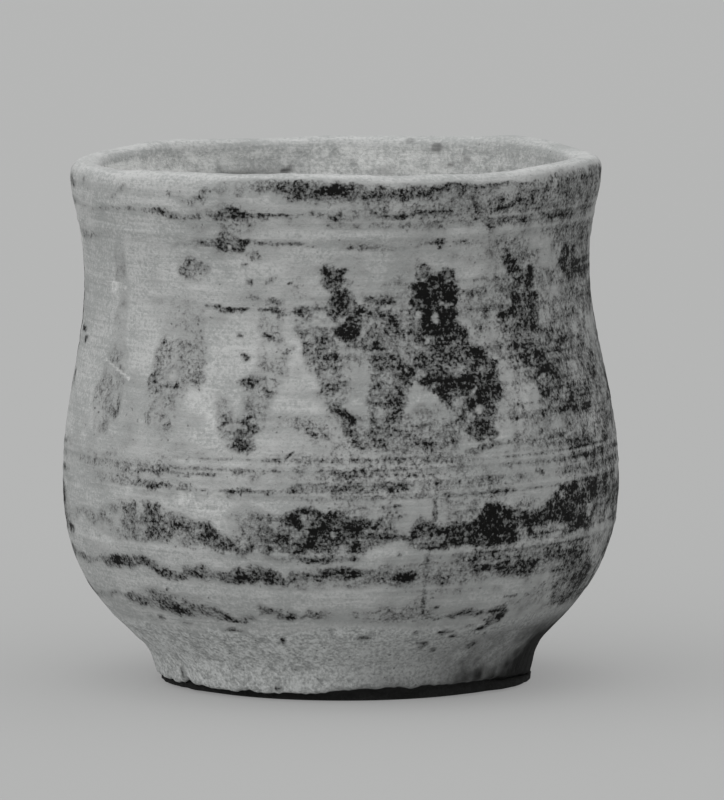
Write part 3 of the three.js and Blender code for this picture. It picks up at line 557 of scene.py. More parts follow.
def hidden_strokes():
    """The frieze's strokes round the back, at the places of the CAD ones."""
    draw = np.random.default_rng(SEED + 5)
    tall = FRIEZE_TOP - FRIEZE_FOOT
    found = []
    for name in STROKES:
        corners = [vertex.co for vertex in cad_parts[name].data.vertices]
        ends = [min(corners, key=lambda co: co.z), max(corners, key=lambda co: co.z)]
        low, high = (math.degrees(math.atan2(co.x, -co.y)) for co in ends)
        lean = turn_from(low, high)
        if abs(turn_from(high + lean / 2, 0)) < HIDDEN_FROM:
            continue
        rows = []
        for share, half in HIDDEN_STROKE:
            middle = high + lean * (1 - share)
            half *= draw.uniform(0.7, 1.1)
            rows.append((share * tall, middle - half, middle + half, draw.uniform(0.3, 0.9)))
        found.append(rows)
    return found


def hidden_spots(count, seed, widest, strength):
    """Stray spots round the back, from the edge of the slip up."""
    draw = np.random.default_rng(SEED + seed)
    found = []
    for _ in range(count):
        turn = draw.uniform(FRONT_LIMIT, 360 - FRONT_LIMIT)
        up = SLIP_EDGE - FRIEZE_FOOT + draw.uniform(0, TOP - SLIP_EDGE)
        wide = draw.uniform(0.5, widest)
        tall = draw.uniform(0.4, widest * 0.7)
        found.append((turn, up, wide, tall, strength * draw.uniform(0.4, 1.0)))
    return found


ALL_TRACES = [(middle_of(node), trace + hidden_trace(node)) for node, trace in TRACES.items()]
ALL_STROKES = FRONT_STROKES + hidden_strokes()
ALL_BLOTS = BLOTS + hidden_spots(90, 6, 2.4, 0.9)
ALL_SCARS = SCARS + hidden_spots(40, 7, 3.0, 0.9)


# Wear of the outside

# The film of rubbed paint is thickest a quarter turn on from FILM_TURN, and gone from the other side.
# Its patches: amount, what it gains towards the right, width and height, and seed
FILM_TURN = 8.0
FILM_GAIN = 0.68
FILM_START = 0.25
FILM_LEAST = -0.05
FILM_PATCHES = [(0.1, 0.2, 13, 8, 13), (0.08, 0.14, 4, 2.4, 14)]
FILM_SPAN = (SLIP_EDGE + 1.5, TOP - 1.6, 1.5)

# Level scores of the wheel all over the wall, fewer at the left, and more under the frieze and at the belly.
# Each kind: length, height and seed of the flecks, and the drift at which one starts and is full
WALL_SCORES = (46, 0.8, 15, 0.2, 0.8)
LOW_SCORES = (60, 0.7, 17, 0.1, 0.7)
BELLY_SCORES = (90, 0.9, 16, 0.0, 0.7)
WALL_SPAN = (FOOT_SEAM + 10, NECK_SEAM + 3, 3)
LOW_SPAN = (FRIEZE_FOOT - 8, FRIEZE_FOOT + 2, 4)
BELLY_SPAN = (middle_of("broad_band") + 5, FRIEZE_FOOT, 1)
SCORE_DARK = 0.3
LOW_SCORE_SHARE = 0.25
BELLY_SCORE_DARK = 0.22
SCORES_AT_LEFT = 0.25
SCORES_GROW = (0.3, 0.75)

# Holes worn in the brush paint, and how much of it has gone from them and from the crests of the ridges
HOLES = (2.0, 1.5, 18, 0.4, 0.85)
HOLE_LOSS = 0.65
CREST_LOSS = 0.55
CREST_SHARE = 0.8
SCAR_SHOWS = 0.42


def brush_paint(place):
    """Paint of the lines, bands, strokes and blots, with holes worn in it."""
    amounts = [trace_amount(*place, middle, trace) for middle, trace in ALL_TRACES]
    amounts += [stroke_amount(*place, rows) for rows in ALL_STROKES]
    amounts += [spot_amount(*place, blot) for blot in ALL_BLOTS]
    patches = 1.0 + layers(*place, PAINT_PATCHES)
    patches *= 1 - HOLE_LOSS * flecks(*place, *HOLES)
    return np.max(amounts, axis=0) * patches


def rubbed_film(angle, height, place):
    """A film of wear and wheel scores between the strokes, denser towards the right."""
    right = 0.5 + 0.5 * np.sin(np.radians(angle - FILM_TURN))
    film = np.maximum(FILM_GAIN * right - FILM_START, FILM_LEAST)
    for amount, gain, *patch in FILM_PATCHES:
        film += (amount + gain * right) * drift(*place, *patch)
    more_at_right = SCORES_AT_LEFT + (1 - SCORES_AT_LEFT) * step(right, *SCORES_GROW)
    scored = flecks(angle, height, *WALL_SCORES) * more_at_right
    scored += LOW_SCORE_SHARE * between(height, *LOW_SPAN) * flecks(angle, height, *LOW_SCORES)
    film += SCORE_DARK * scored * between(height, *WALL_SPAN)
    film += BELLY_SCORE_DARK * between(height, *BELLY_SPAN) * flecks(angle, height, *BELLY_SCORES)
    film += sum(spot_amount(*place, smear) for smear in SMEARS)
    return film * between(height, *FILM_SPAN)


def paint_left(angle, height):
    """How much paint is left on the outside, 0 to 1."""
    place = ragged(angle, height)
    cracked = [line_amount(angle, height, ends, CRACK_HALF) for ends in zip(CRACK, CRACK[1:])]
    dark = [brush_paint(place), rubbed_film(angle, height, place), CRACK_DARK * np.max(cracked, axis=0)]
    worn = np.clip(np.max(dark, axis=0), 0, 1)

    # Paint has gone from the crests of the wheel ridges first
    for level, half, tall in RIDGES:
        if tall > 0:
            worn *= 1 - CREST_LOSS * np.exp(-((height - level) / (CREST_SHARE * half)) ** 2)
    return worn


def scar_amount(angle, height):
    """Pale places where slip has come off, 0 to 1."""
    place = ragged(angle, height)
    amounts = [spot_amount(*place, scar) for scar in ALL_SCARS]
    amounts += [strength * line_amount(angle, height, ends, half) for *ends, half, strength in SCRATCHES]
    return SCAR_SHOWS * np.max(amounts, axis=0)


def bare_amount(angle, height):
    """1 where the clay is bare under the ragged edge of the slip, 0 where slip covers it."""
    edge = SLIP_EDGE + layers(angle, height, SLIP_EDGE_WAVES)
    return 1 - step(height - edge, *SLIP_EDGE_FADE)


# Soil is rubbed into the right side, with painted shade there too, more of both low down, and never past what
# the clay there can hold.
# Angles over which it starts, ends and is held best, and heights over which it thins out
SOIL_SHADE_STARTS = (-22, 80)
SOIL_SHADE_ENDS = (110, 170)
SOIL_SHADE_THINS = (2, 21)
SOIL_SHADE_HELD = (45, 76)
FOOT_SHADE_HELD = (25, 55)
FOOT_SHADE_THINS = (3, 9)
SOIL_SHADE_LOW = 1.35
SOIL_SHADE_LOST_UP = 1.15
SOIL_SHADE_WAVER = [(4, 12, 5, 54)]
SOIL_SHADE_PATCHES = [(0.1, 5, 4, 55), (0.1, 2, 1.6, 56)]


def outside_soil_and_shade(angle, height):
    """How much soil and painted shade the outside holds, 0 to about 1."""
    stained = angle + layers(angle, height, SOIL_SHADE_WAVER)
    rubbed = step(stained, *SOIL_SHADE_STARTS) * (1 - step(stained, *SOIL_SHADE_ENDS))
    rubbed *= SOIL_SHADE_LOW - SOIL_SHADE_LOST_UP * step(height, *SOIL_SHADE_THINS)
    rubbed *= 0.95 + 0.25 * drift(angle, height, 9, 6, 53)
    most = 0.51 + 0.5 * step(stained, *SOIL_SHADE_HELD) + layers(angle, height, SOIL_SHADE_PATCHES)
    # Painted contact shadow: darker still low on the foot's right side, next to the ground
    most += 0.28 * step(stained, *FOOT_SHADE_HELD) * (1 - step(height, *FOOT_SHADE_THINS))
    return np.minimum(rubbed, most)


# Relief in layers of drift: swells, level lines of the wheel and grain, and the ragged edge of the foot

WALL_SWELL = [(0.22, 70, 34, 31), (0.1, 24, 16, 32)]
WHEEL_LINES = [(0.05, 80, 1.1, 33), (0.05, 110, 2.6, 34)]
WALL_GRAIN = [(0.035, 1.3, 1.1, 35), (0.025, 0.8, 0.8, 36)]
INSIDE_SWELL = [(0.16, 60, 20, 61), (0.06, 90, 1.8, 62), (0.03, 1.2, 1.1, 63)]
CHIP_GRAIN = [(0.22, 4, 50, 41), (0.16, 1.3, 50, 42)]
UNDERCUT_WAVES = [(0.5, 9, 40, 73), (0.3, 2.5, 1.2, 74)]
PITS = (1.7, 1.5, 37, 0.72, 0.95)
PIT_DEPTH = 0.2
SCAR_DEPTH = 0.12
PAINT_RISE = 0.05
BARE_GRAIN = 0.03

# Level lines rise and fall twice round the vessel, and the ridges among them fade in places
WAVER = 0.25
WAVER_TURN = 40
RIDGE_FADE = 0.35


def outer_relief(angle, height, paint, bare, scar):
    """How far the outside stands off its turned outline."""
    waver = height + WAVER * np.sin(np.radians(angle * 2 + WAVER_TURN))
    rise = layers(angle, height, WALL_SWELL + WALL_GRAIN) + layers(angle, waver, WHEEL_LINES)
    for level, half, tall in RIDGES:
        faded = 1 - RIDGE_FADE + RIDGE_FADE * drift(angle, height, 30, 400, round(level * 10))
        rise += tall * faded * np.exp(-((waver - level) / half) ** 2)
    pits = flecks(angle, height, *PITS)
    coarse = bare * drift(angle, height, 1.6, 1.0, 38)
    return rise - PIT_DEPTH * pits - SCAR_DEPTH * scar + PAINT_RISE * paint + BARE_GRAIN * coarse


# The chipped lower edge of the foot: angle and height of the edge over the ground
FOOT_CHIPS = [
    (-180, 2.4), (-150, 3.0), (-125, 2.0), (-100, 1.6), (-80, 1.4), (-65, 1.6), (-60, 1.7), (-56, 2.8),
    (-52, 1.7), (-45, 1.5), (-35, 1.5), (-30, 2.0), (-25, 1.4), (-15, 1.7), (-8, 1.7), (-2, 2.2),
    (3, 2.5), (8, 2.9), (13, 2.9), (17, 3.0), (21, 2.3), (26, 3.0), (32, 2.8), (38, 3.0), (50, 2.8),
    (62, 2.5), (72, 2.1), (82, 1.4), (95, 1.0), (110, 1.4), (130, 2.1), (155, 2.9), (180, 2.4),
]

# The lip waves up and down round the mouth: angle and rise over its turned height
LIP_WAVE = [
    (-180, 0.3), (-167, 0.2), (-154, 0.5), (-143, 0.9), (-134, 1.05), (-122, 0.7), (-108, 0.5),
    (-92, 0.3), (-75, 0.3), (-60, 0.3), (-46, 0.8), (-25, 0.9), (-7, 1.0), (6, 0.6), (14, 0.2),
    (25, 0.15), (35, -0.2), (45, -0.1), (60, 0.3), (80, 0.1), (98, -0.3), (112, -0.1), (119, 0.35),
    (128, 0.85), (134, 0.95), (145, 0.5), (156, 0.3), (170, 0.2), (180, 0.3),
]
lip_wave = smooth_curve(*zip(*LIP_WAVE))

# Radii and heights of the foot's edge, over which chips and the drawn-in corner fade
NEAR_EDGE = (CONTACT_RADIUS + 1, FOOT_RADIUS - 0.4)
CHIPS_END = (FOOT_EDGE, FOOT_EDGE + 6)
CORNER_ENDS = (FOOT_EDGE, FOOT_EDGE + 1)

# The slope under the edge, and how far out of the resting ring it reaches, more so at the sides. It is
# coloured near black as painted shade, so where it stands out it widens the dark strip under the foot
SLOPE_SPAN = (CONTACT_RADIUS + 0.3, FOOT_RADIUS - 0.5, 0.2)
SLOPE_ENDS = (1.9, 2.3)
SLOPE_SINKS = 0.25
SLOPE_REACH = 1.3
SIDE_REACH = 1.6
RIGHT_REACH = 0.5

# String marks under the foot: middle of the loops, their pitch and rise, and the rise of the grain there
STRING_MIDDLE = (21, -9)
STRING_PITCH = 2.6
STRING_RISE = 0.1
STRING_GRAIN = 0.06

# The spiral that fingers left on the floor inside: its pitch and rise
SPIRAL_PITCH = 5.5
SPIRAL_RISE = 0.22


def lip_rise(angle, radius):
    level = np.zeros_like(angle)
    waves = lip_wave(turn_from(angle, 0)) + 0.08 * drift(angle, level, 5, 50, 65)
    return waves + 0.05 * drift(angle, radius * 2, 1.4, 1.2, 66)


def floor_spiral(angle, radius):
    spiral = np.sin(2 * math.pi * (radius / SPIRAL_PITCH - angle / 360.0))
    return SPIRAL_RISE * spiral * step(radius, 1, 6) * (1 - step(radius, 26, FLOOR_RADIUS))


def chipped_edge(angle, height, radius):
    """Rise and draw-in of the foot's lower edge."""
    turns, chips = zip(*FOOT_CHIPS)
    edge = np.interp(turn_from(angle, 0), turns, chips) + layers(angle, np.zeros_like(angle), CHIP_GRAIN)
    near = step(radius, *NEAR_EDGE)
    rise = (edge - FOOT_EDGE) * near * (1 - step(height, *CHIPS_END))
    tucked = near * (1 - step(height, *CORNER_ENDS))
    return rise, tucked * (0.3 + 0.35 * drift(angle, height, 3, 1.2, 71))


def filled_undercut(angle, height, radius):
    """How far the slope under the foot's edge sinks and stands out, which is most at both sides."""
    side = np.sin(np.radians(angle))
    slope = between(radius, *SLOPE_SPAN) * (1 - step(height, *SLOPE_ENDS))
    reach = CONTACT_RADIUS + SLOPE_REACH + layers(angle, height, UNDERCUT_WAVES)
    reach += SIDE_REACH * step(abs(side), 0.4, 0.9) + RIGHT_REACH * step(side, 0.3, 0.8)
    return slope * np.minimum(height / 2, SLOPE_SINKS), slope * np.maximum(reach - radius, 0)


def string_marks(angle, height, radius):
    """Rise of the loops that the cutting string left under the foot."""
    aside = radius * np.sin(np.radians(angle)) - STRING_MIDDLE[0]
    back = -radius * np.cos(np.radians(angle)) - STRING_MIDDLE[1]
    loops = 1 + np.sin(2 * math.pi * np.hypot(aside, back) / STRING_PITCH)
    grain = 1 + drift(angle, radius, 2, 2, 72)
    in_ring = step(radius, 0, 2) * (1 - step(radius, CONTACT_RADIUS - 1, CONTACT_RADIUS))
    return in_ring * (1 - step(height, 0.9, 1.3)) * (STRING_RISE * loops + STRING_GRAIN * grain)


# Bloom, painted light and smudges inside

BLOOM = 0.37
# Painted light: how much paler the bloom makes the inside towards the left
PAINTED_LIGHT_TO_LEFT = 0.3
BLOOM_PATCHES = 0.15
SMUDGE = 0.05
SMUDGE_PATCHES = 0.12
LIP_RUBBED = 0.8
LIP_RUBBED_LEFT = 0.08
LIP_CREST = (TOP - 2.6, TOP - 0.6)


def inside_marks(angle, height, radius):
    """Pale bloom, which fades over the lip, with painted light that makes the inside paler towards the left,
    and dark smudges.
    """
    along = np.where(radius < FLOOR_RADIUS, radius, height)
    side = np.sin(np.radians(angle))
    off_middle = step(radius, 2, 20)
    # Painted light: the inside is painted paler towards the left
    bloom_and_light = BLOOM - PAINTED_LIGHT_TO_LEFT * np.clip(radius * side / LIP_RADIUS, -1, 1)
    bloom_and_light += BLOOM_PATCHES * off_middle * drift(angle, along, 24, 9, 52)
    bloom_and_light *= 1 - (LIP_RUBBED - LIP_RUBBED_LEFT * side) * step(height, *LIP_CREST)
    smudges = SMUDGE + SMUDGE_PATCHES * off_middle * drift(angle, along, 20, 9, 51)
    place = ragged(angle, height)
    return bloom_and_light, smudges + sum(spot_amount(*place, spot) for spot in INSIDE_SPOTS)


# Profiles of the four turned pieces, as radius and height

ROW = 0.5
LIP_STEPS = 30
BOSS_INSET = 8


def spread(first, last, pitch):
    return np.linspace(first, last, max(2, math.ceil(abs(last - first) / pitch) + 1))


def up_outside(bottom, top):
    return [(float(outer_radius(z)), z) for z in spread(bottom, top, ROW)]


def down_inside(top, bottom):
    return [(float(inner_radius(z)), z) for z in spread(top, bottom, 2 * ROW)]


def over_lip():
    """From the outside over the squared round of the lip to the inside."""
    middle = float(outer_radius(LIP_HEIGHT)) - LIP_HALF
    power = 2 / LIP_SQUARENESS
    points = []
    for turn in np.linspace(0, math.pi, LIP_STEPS + 1)[1:-1]:
        aside = math.copysign(abs(math.cos(turn)) ** power, math.cos(turn))
        points.append((middle + LIP_HALF * aside, LIP_HEIGHT + LIP_HALF * math.sin(turn) ** power))
    return points


def over_boss():
    """From the axis over the foot's boss to the edge of its seam."""
    boss = float(outer_radius(FOOT_SEAM)) - BOSS_INSET
    return [(0.0, FOOT_BOSS), (boss / 2, FOOT_BOSS), (boss, FOOT_BOSS)]


def rim_profile():
    return up_outside(NECK_SEAM, LIP_HEIGHT) + over_lip() + down_inside(LIP_HEIGHT, NECK_SEAM_INSIDE)


def upper_wall_profile():
    return up_outside(BELLY_SEAM, NECK_SEAM) + down_inside(NECK_SEAM_INSIDE, BELLY_SEAM_INSIDE)


def lower_bowl_profile():
    inside = down_inside(BELLY_SEAM_INSIDE, FLOOR_EDGE)
    floor = [(radius, float(floor_height(radius))) for radius in spread(FLOOR_RADIUS, 0, 2 * ROW)[1:]]
    return over_boss() + up_outside(FOOT_SEAM, BELLY_SEAM) + inside + floor


def foot_profile():
    underside = list(zip(under_radii[::2], under_heights[::2]))
    return underside + up_outside(FOOT_EDGE + ROW, FOOT_SEAM) + over_boss()[::-1]


# Turning, and weathering of the turned surface

WEDGES = 16
WEDGE_STEPS = 40
MERGE = MM / 1000
SHARP_FROM = math.radians(62)
LEAN = math.tan(math.radians(0.9))

# Where a point starts to count as outside, and where it fully does: off the turned outline, and in height
SKIN = (-2.0, -0.5)
WALL_STARTS = (FOOT_EDGE - 0.4, FOOT_EDGE + 1)

# Where paint ends on the lip, its moving crown starts, the inside starts to swell and the foot's edge darkens
# with painted shade
PAINT_ENDS = (TOP - 1.0, TOP - 0.1)
CROWN = (LIP_HEIGHT - LIP_HALF / 4, TOP)
INSIDE_SWELLS = (20, 40)
EDGE_DARKENS = (FOOT_EDGE - 0.7, FOOT_EDGE + 0.2)
# Strength of the painted shade that colours the foot's edge and the slope under it near black
EDGE_PAINTED_SHADE = 1.6


def turned(name, profile, closed):
    """A piece spun from its profile: one wedge first, which is then repeated round the axis."""
    shape = bmesh.new()
    points = [shape.verts.new((0, radius * MM, height * MM)) for radius, height in profile]
    ends = points[1:] + points[:1] if closed else points[1:]
    edges = [shape.edges.new(pair) for pair in zip(points, ends)]
    wedge = 2 * math.pi / WEDGES
    rest = 2 * math.pi - wedge
    about = {"axis": (0, 0, 1), "cent": (0, 0, 0)}
    bmesh.ops.spin(shape, geom=points + edges, angle=wedge, steps=WEDGE_STEPS, **about)
    whole = shape.verts[:] + shape.edges[:] + shape.faces[:]
    bmesh.ops.spin(shape, geom=whole, angle=rest, steps=WEDGES - 1, use_duplicate=True, **about)
    bmesh.ops.remove_doubles(shape, verts=shape.verts, dist=MERGE)
    bmesh.ops.recalc_face_normals(shape, faces=shape.faces)
    mesh = bpy.data.meshes.new(name)
    shape.to_mesh(mesh)
    shape.free()
    piece = bpy.data.objects.new(name, mesh)
    bpy.context.scene.collection.objects.link(piece)
    return piece


def wall_wear(angle, height, outside):
    """Marks on the outside, and how far it stands off its turned outline."""
    wall = outside > 0
    place = angle[wall], height[wall]
    paint, bare, scar, push = (np.zeros_like(height) for _ in range(4))
    paint[wall] = paint_left(*place) * outside[wall] * (1 - step(height[wall], *PAINT_ENDS))
    scar[wall] = scar_amount(*place) * outside[wall]
    bare[wall] = bare_amount(*place)
    bare[~wall] = height[~wall] < FOOT_BOSS
    push[wall] = outer_relief(*place, paint[wall], bare[wall], scar[wall]) * outside[wall]
    return {"paint": paint, "bare": bare, "scar": scar}, push


def weather(piece, is_foot):
    """Moves a turned piece's points to its worn surface, and writes its paint, bare clay, scars and soil,
    with bloom and painted light inside and painted shade outside.
    """
    mesh = piece.data
    places = np.empty(len(mesh.vertices) * 3)
    mesh.vertices.foreach_get("co", places)
    x, y, height = places.reshape(-1, 3).T / MM
    angle = np.degrees(np.arctan2(x, -y))
    radius = np.hypot(x, y)

    skin = step(radius - outer_radius(height), *SKIN)
    outside = skin * step(height, *WALL_STARTS)
    inside = (outside == 0) & (height > FOOT_BOSS)
    on_floor = inside & (radius < FLOOR_RADIUS)
    marks, push = wall_wear(angle, height, outside)
    soil = outside_soil_and_shade(angle, height) * skin
    marks["scar"][inside], soil[inside] = inside_marks(angle[inside], height[inside], radius[inside])

    # The lip moves up and down, the rest of the wall moves in and out
    crown = step(height, *CROWN)
    swell = layers(angle[inside], height[inside], INSIDE_SWELL)
    push[inside] = swell * step(radius[inside], *INSIDE_SWELLS)
    push *= 1 - crown
    rise = crown * lip_rise(angle, radius)
    rise[on_floor] += floor_spiral(angle[on_floor], radius[on_floor])

    if is_foot:
        chips, tucked = chipped_edge(angle, height, radius)
        sunk, stands_out = filled_undercut(angle, height, radius)
        rise += chips - sunk + string_marks(angle, height, radius)
        push += stands_out - tucked
        # Painted shade: the foot's edge and the slope under it are coloured near black
        soil = np.maximum(soil, EDGE_PAINTED_SHADE * (1 - step(height, *EDGE_DARKENS)))

    # Over its level base the whole vessel leans to the left
    share = 1 + push / np.maximum(radius, 1.0)
    lean_up = x * LEAN * step(height, 0, FOOT_SEAM)
    moved = np.stack([x * share - height * LEAN, y * share, height + rise + lean_up], -1) * MM
    mesh.vertices.foreach_set("co", moved.ravel())
    for name, values in {**marks, "soil": soil}.items():
        attribute = mesh.attributes.new(name, "FLOAT", "POINT")
        attribute.data.foreach_set("value", values.astype(np.float32))
    mesh.shade_smooth()
    mesh.set_sharp_from_angle(angle=SHARP_FROM)
    mesh.update()


# Materials

SLIP_LIGHT = "#c1c2c1"
SLIP_SHADE = "#a2a4a3"
CLAY_LIGHT = "#d4d6d5"
CLAY_SHADE = "#909291"
GRIT = "#434443"
# Chalky white of scars and inside bloom, also used as painted light inside at the left
CHALK_AND_PAINTED_LIGHT = "#f2f3f1"
# Near-black soil, also used as painted shade on the right side, low down and under the foot's edge
SOIL_AND_SHADE = "#0d0d0c"
PAINT = "#0b0b0a"

# Dry slip and clay hardly shine. Bare clay is the rougher, and paint a little smoother than what it lies on
SLIP_ROUGHNESS = 0.88
CLAY_ROUGHNESS = 0.95
PAINT_SMOOTHNESS = 0.12
SPECULAR = 0.15

# Sizes of the patterns, and how much flatter than wide the wheel streaks are
GRAIN_SIZE = 0.6
GRIT_SIZE = 0.9
CLOT_SIZE = 2.4
CLOUD_SIZE = 14.0
STREAK_FLATNESS = 26.0
BUMP_HEIGHT = 0.3

# Settings and sockets that many nodes share
SMOOTH = {"interpolation_type": "SMOOTHSTEP"}
PLUS_SHARE = {"operation": "MULTIPLY_ADD"}
COLOURS = {"data_type": "RGBA", "out": 2}
COLOUR_A = 6
COLOUR_B = 7


def linear(colour):
    """An sRGB hex colour as linear red, green, blue and alpha."""
    parts = [int(colour[k:k + 2], 16) / 255 for k in (1, 3, 5)]
    return (*[c / 12.92 if c <= 0.04045 else ((c + 0.055) / 1.055) ** 2.4 for c in parts], 1.0)


def per_metre(size):
    """Texture scale for a pattern of a size in millimetres."""
    return 1 / (size * MM)


def add(tree, kind, inputs=None, out=0, **settings):
    """Adds a node with its settings, values and links, and gives one of its outputs."""
    made = tree.nodes.new(kind)
    for name, value in settings.items():
        setattr(made, name, value)
    for socket, value in (inputs or {}).items():
        if isinstance(value, bpy.types.NodeSocket):
            tree.links.new(value, made.inputs[socket])
        else:
            made.inputs[socket].default_value = value
    return made.outputs[out] if made.outputs else None


def worn_clay(name, roughness):
    """Terracotta thrown on a wheel, dipped in pale slip, painted with dark slip, fired and long buried.
    The eye sees a matt, chalky grain, level wheel streaks, and paint that has broken into specks."""
    material = bpy.data.materials.new(name)
    material.use_nodes = True
    tree = material.node_tree
    tree.nodes.clear()
    paint, bare, scar, soil = (
        add(tree, "ShaderNodeAttribute", out="Fac", attribute_name=mark)
        for mark in ("paint", "bare", "scar", "soil"))

    # Each pattern: place, size, detail and roughness. Real grain is finer than a pixel and is drawn coarser
    place = add(tree, "ShaderNodeTexCoord", out="Object")
    level = add(tree, "ShaderNodeMapping", {"Vector": place, "Scale": (1.0, 1.0, STREAK_FLATNESS)})
    grain, clots, grit, streak, cloud = (
        add(tree, "ShaderNodeTexNoise", {
            "Vector": where, "Scale": per_metre(size), "Detail": detail, "Roughness": rough})
        for where, size, detail, rough in (
            (place, GRAIN_SIZE, 2.0, 0.6), (place, CLOT_SIZE, 5.0, 0.66), (place, GRIT_SIZE, 1.0, 0.5),
            (level, CLOUD_SIZE, 3.0, 0.6), (place, CLOUD_SIZE, 4.0, 0.6)))

    # Paint: a film that streaks, clots and grain break up, less so where hardly any of it is left
    broken = -3.85
    for pattern, share in ((streak, 1.2), (clots, 4.0), (grain, 2.5)):
        broken = add(tree, "ShaderNodeMath", {0: pattern, 1: share, 2: broken}, **PLUS_SHARE)
    loose = add(tree, "ShaderNodeMapRange", {"Value": paint, "From Max": 0.32, "To Max": 0.56})
    laid = add(tree, "ShaderNodeMath", {0: paint, 1: 1.08}, operation="MULTIPLY")
    film = add(tree, "ShaderNodeMath", {0: broken, 1: loose, 2: laid}, use_clamp=True, **PLUS_SHARE)

    # Slip: pale where it lies thick, darker in level streaks
    tone = -0.9
    for pattern, share in ((cloud, 0.8), (grain, 0.8), (streak, 0.6), (clots, 0.6)):
        tone = add(tree, "ShaderNodeMath", {0: pattern, 1: share, 2: tone}, **PLUS_SHARE)
    tone = add(tree, "ShaderNodeMapRange", {"Value": tone, "From Min": 0.26, "From Max": 0.74}, **SMOOTH)
    slip = add(tree, "ShaderNodeMix", {
        0: tone, COLOUR_A: linear(SLIP_SHADE), COLOUR_B: linear(SLIP_LIGHT)}, **COLOURS)

    # Bare clay: a closer grain
    tone = add(tree, "ShaderNodeMath", {0: grain, 1: 0.8, 2: clots}, **PLUS_SHARE)
    tone = add(tree, "ShaderNodeMapRange", {"Value": tone, "From Min": 0.6, "From Max": 1.2}, **SMOOTH)
    clay = add(tree, "ShaderNodeMix", {
        0: tone, COLOUR_A: linear(CLAY_SHADE), COLOUR_B: linear(CLAY_LIGHT)}, **COLOURS)

    # The slip ends in a ragged edge over the clay
    bared = add(tree, "ShaderNodeMath", {0: clots, 1: 0.9, 2: bare}, **PLUS_SHARE)
    bared = add(tree, "ShaderNodeMapRange", {"Value": bared, "From Min": 0.6, "From Max": 1.25}, **SMOOTH)
    colour = add(tree, "ShaderNodeMix", {0: bared, COLOUR_A: slip, COLOUR_B: clay}, **COLOURS)

    # Dark grit shows in both, more of it where paint has rubbed in and in bare clay
    rubbed = add(tree, "ShaderNodeMath", {0: paint, 1: 0.3}, operation="MINIMUM")
    specks = add(tree, "ShaderNodeMath", {0: rubbed, 1: 0.4, 2: grit}, **PLUS_SHARE)
    specks = add(tree, "ShaderNodeMath", {0: bare, 1: 0.05, 2: specks}, **PLUS_SHARE)
    specks = add(tree, "ShaderNodeMapRange", {
        "Value": specks, "From Min": 0.71, "From Max": 0.88, "To Max": 0.65}, **SMOOTH)

    # Chalky scars, bloom with its painted light, and soil with its painted shade break up in clots
    chalk_and_light = add(tree, "ShaderNodeMath", {0: clots, 1: 0.9, 2: scar}, **PLUS_SHARE)
    chalk_and_light = add(tree, "ShaderNodeMapRange", {"Value": chalk_and_light, "From Min": 0.65, "From Max": 1.2}, **SMOOTH)
    soiled_and_shaded = add(tree, "ShaderNodeMath", {0: clots, 1: 0.8, 2: -0.4}, **PLUS_SHARE)
    soiled_and_shaded = add(tree, "ShaderNodeMath", {0: soil, 1: soiled_and_shaded}, operation="ADD")
    soiled_and_shaded = add(tree, "ShaderNodeMapRange", {"Value": soiled_and_shaded, "To Max": 0.98}, **SMOOTH)

    # From the body up: grit in it, paint over it, then scars with bloom and painted light, then soil with
    # painted shade
    for share, layer in ((specks, GRIT), (film, PAINT), (chalk_and_light, CHALK_AND_PAINTED_LIGHT), (soiled_and_shaded, SOIL_AND_SHADE)):
        colour = add(tree, "ShaderNodeMix", {
            0: share, COLOUR_A: colour, COLOUR_B: linear(layer)}, **COLOURS)

    matt = add(tree, "ShaderNodeMath", {0: film, 1: -PAINT_SMOOTHNESS, 2: roughness}, **PLUS_SHARE)
    surface = grain
    for pattern, share in ((streak, 0.4), (clots, 0.8)):
        surface = add(tree, "ShaderNodeMath", {0: pattern, 1: share, 2: surface}, **PLUS_SHARE)
    normal = add(tree, "ShaderNodeBump", {
        "Height": surface, "Strength": 0.5, "Distance": BUMP_HEIGHT * MM})
    shader = add(tree, "ShaderNodeBsdfPrincipled", {
        "Base Color": colour, "Roughness": matt, "Specular IOR Level": SPECULAR, "Normal": normal})
    add(tree, "ShaderNodeOutputMaterial", {"Surface": shader})
    return material


slipped_terracotta = worn_clay("slipped_terracotta", SLIP_ROUGHNESS)
bare_terracotta = worn_clay("bare_terracotta", CLAY_ROUGHNESS)


def make_member(member, profile, closed, material):
    piece = turned(f"{member}_clay", profile, closed)
    weather(piece, member == "foot")
    piece.data.materials.append(material)
    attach(piece, "root")
    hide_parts(member, *PAINT_ON[member])


make_member("foot", foot_profile(), False, bare_terracotta)
make_member("lower_bowl", lower_bowl_profile(), False, slipped_terracotta)
make_member("upper_wall", upper_wall_profile(), True, slipped_terracotta)
make_member("rim", rim_profile(), True, slipped_terracotta)


# Stage: a sheet of matt paper that glows a little, which keeps it pale and its shadow soft

FLOOR_REACH = 6.0
FLOOR_SIDES = 96
FLOOR_PAPER = "#777877"
FLOOR_ROUGHNESS = 0.95
FLOOR_GLOW = 0.23
WHITE = (1, 1, 1, 1)

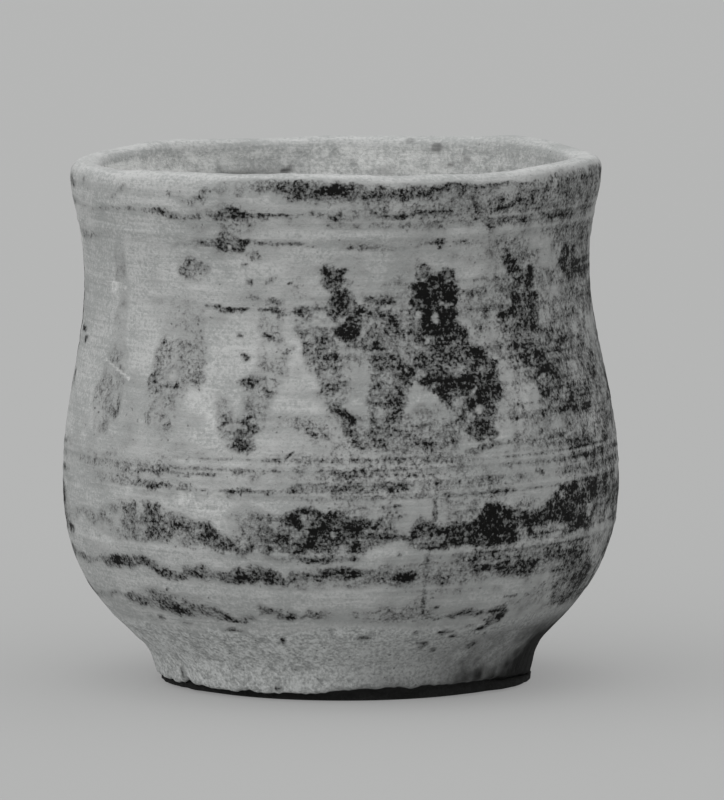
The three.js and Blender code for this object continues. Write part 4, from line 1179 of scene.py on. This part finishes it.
floor_shape = bmesh.new()
bmesh.ops.create_circle(floor_shape, cap_ends=True, segments=FLOOR_SIDES, radius=FLOOR_REACH)
floor_mesh = bpy.data.meshes.new("floor")
floor_shape.to_mesh(floor_mesh)
floor_shape.free()
floor = bpy.data.objects.new("floor", floor_mesh)
bpy.context.scene.collection.objects.link(floor)
paper = bpy.data.materials.new("matt_paper")
paper.use_nodes = True
paper_sheet = paper.node_tree.nodes["Principled BSDF"].inputs
paper_sheet["Base Color"].default_value = linear(FLOOR_PAPER)
paper_sheet["Roughness"].default_value = FLOOR_ROUGHNESS
paper_sheet["Emission Color"].default_value = WHITE
paper_sheet["Emission Strength"].default_value = FLOOR_GLOW
floor_mesh.materials.append(paper)

# Sky: bright at the front left, with weaker glows from the right and from behind at the right.
# Each lobe: turn, rise, cosine of the angle at which it ends, and strength
SKY_LOBES = [(-47, 50, 0.2, 1.55), (150, 50, 0.35, 0.6), (80, 35, 0.3, 0.42)]

world = bpy.data.worlds.new("studio")
world.use_nodes = True
sky = world.node_tree
sky.nodes.clear()
way = add(sky, "ShaderNodeTexCoord", out="Generated")
glow = 0.0
for turn, rise, edge, strength in SKY_LOBES:
    up = math.radians(rise)
    about = math.radians(turn)
    brightest = (math.cos(up) * math.sin(about), -math.cos(up) * math.cos(about), math.sin(up))
    nearness = add(sky, "ShaderNodeVectorMath", {0: way, 1: brightest}, out="Value", operation="DOT_PRODUCT")
    lobe = add(sky, "ShaderNodeMapRange", {"Value": nearness, "From Min": edge, "To Max": strength})
    glow = add(sky, "ShaderNodeMath", {0: glow, 1: lobe}, operation="ADD")
background = add(sky, "ShaderNodeBackground", {"Color": WHITE, "Strength": glow})
add(sky, "ShaderNodeOutputWorld", {"Surface": background})
bpy.context.scene.world = world
bpy.context.scene.view_settings.view_transform = "Standard"

# Camera, as far off and as high as the ellipse of the rim says
LENS = 470.0
CAMERA_AT = Vector((3.45, -2000.0, 268.0)) * MM
CAMERA_LOOKS_AT = Vector((3.45, 0.0, 54.0)) * MM
CAMERA_SEES_TO = 50.0

camera_data = bpy.data.cameras.new("camera")
camera_data.lens = LENS
camera_data.clip_end = CAMERA_SEES_TO
camera = bpy.data.objects.new("camera", camera_data)
facing = (CAMERA_LOOKS_AT - CAMERA_AT).to_track_quat("-Z", "Y").to_matrix()
camera.matrix_world = Matrix.Translation(CAMERA_AT) @ facing.to_4x4()
bpy.context.scene.collection.objects.link(camera)
bpy.context.scene.camera = camera

bpy.context.view_layer.update()
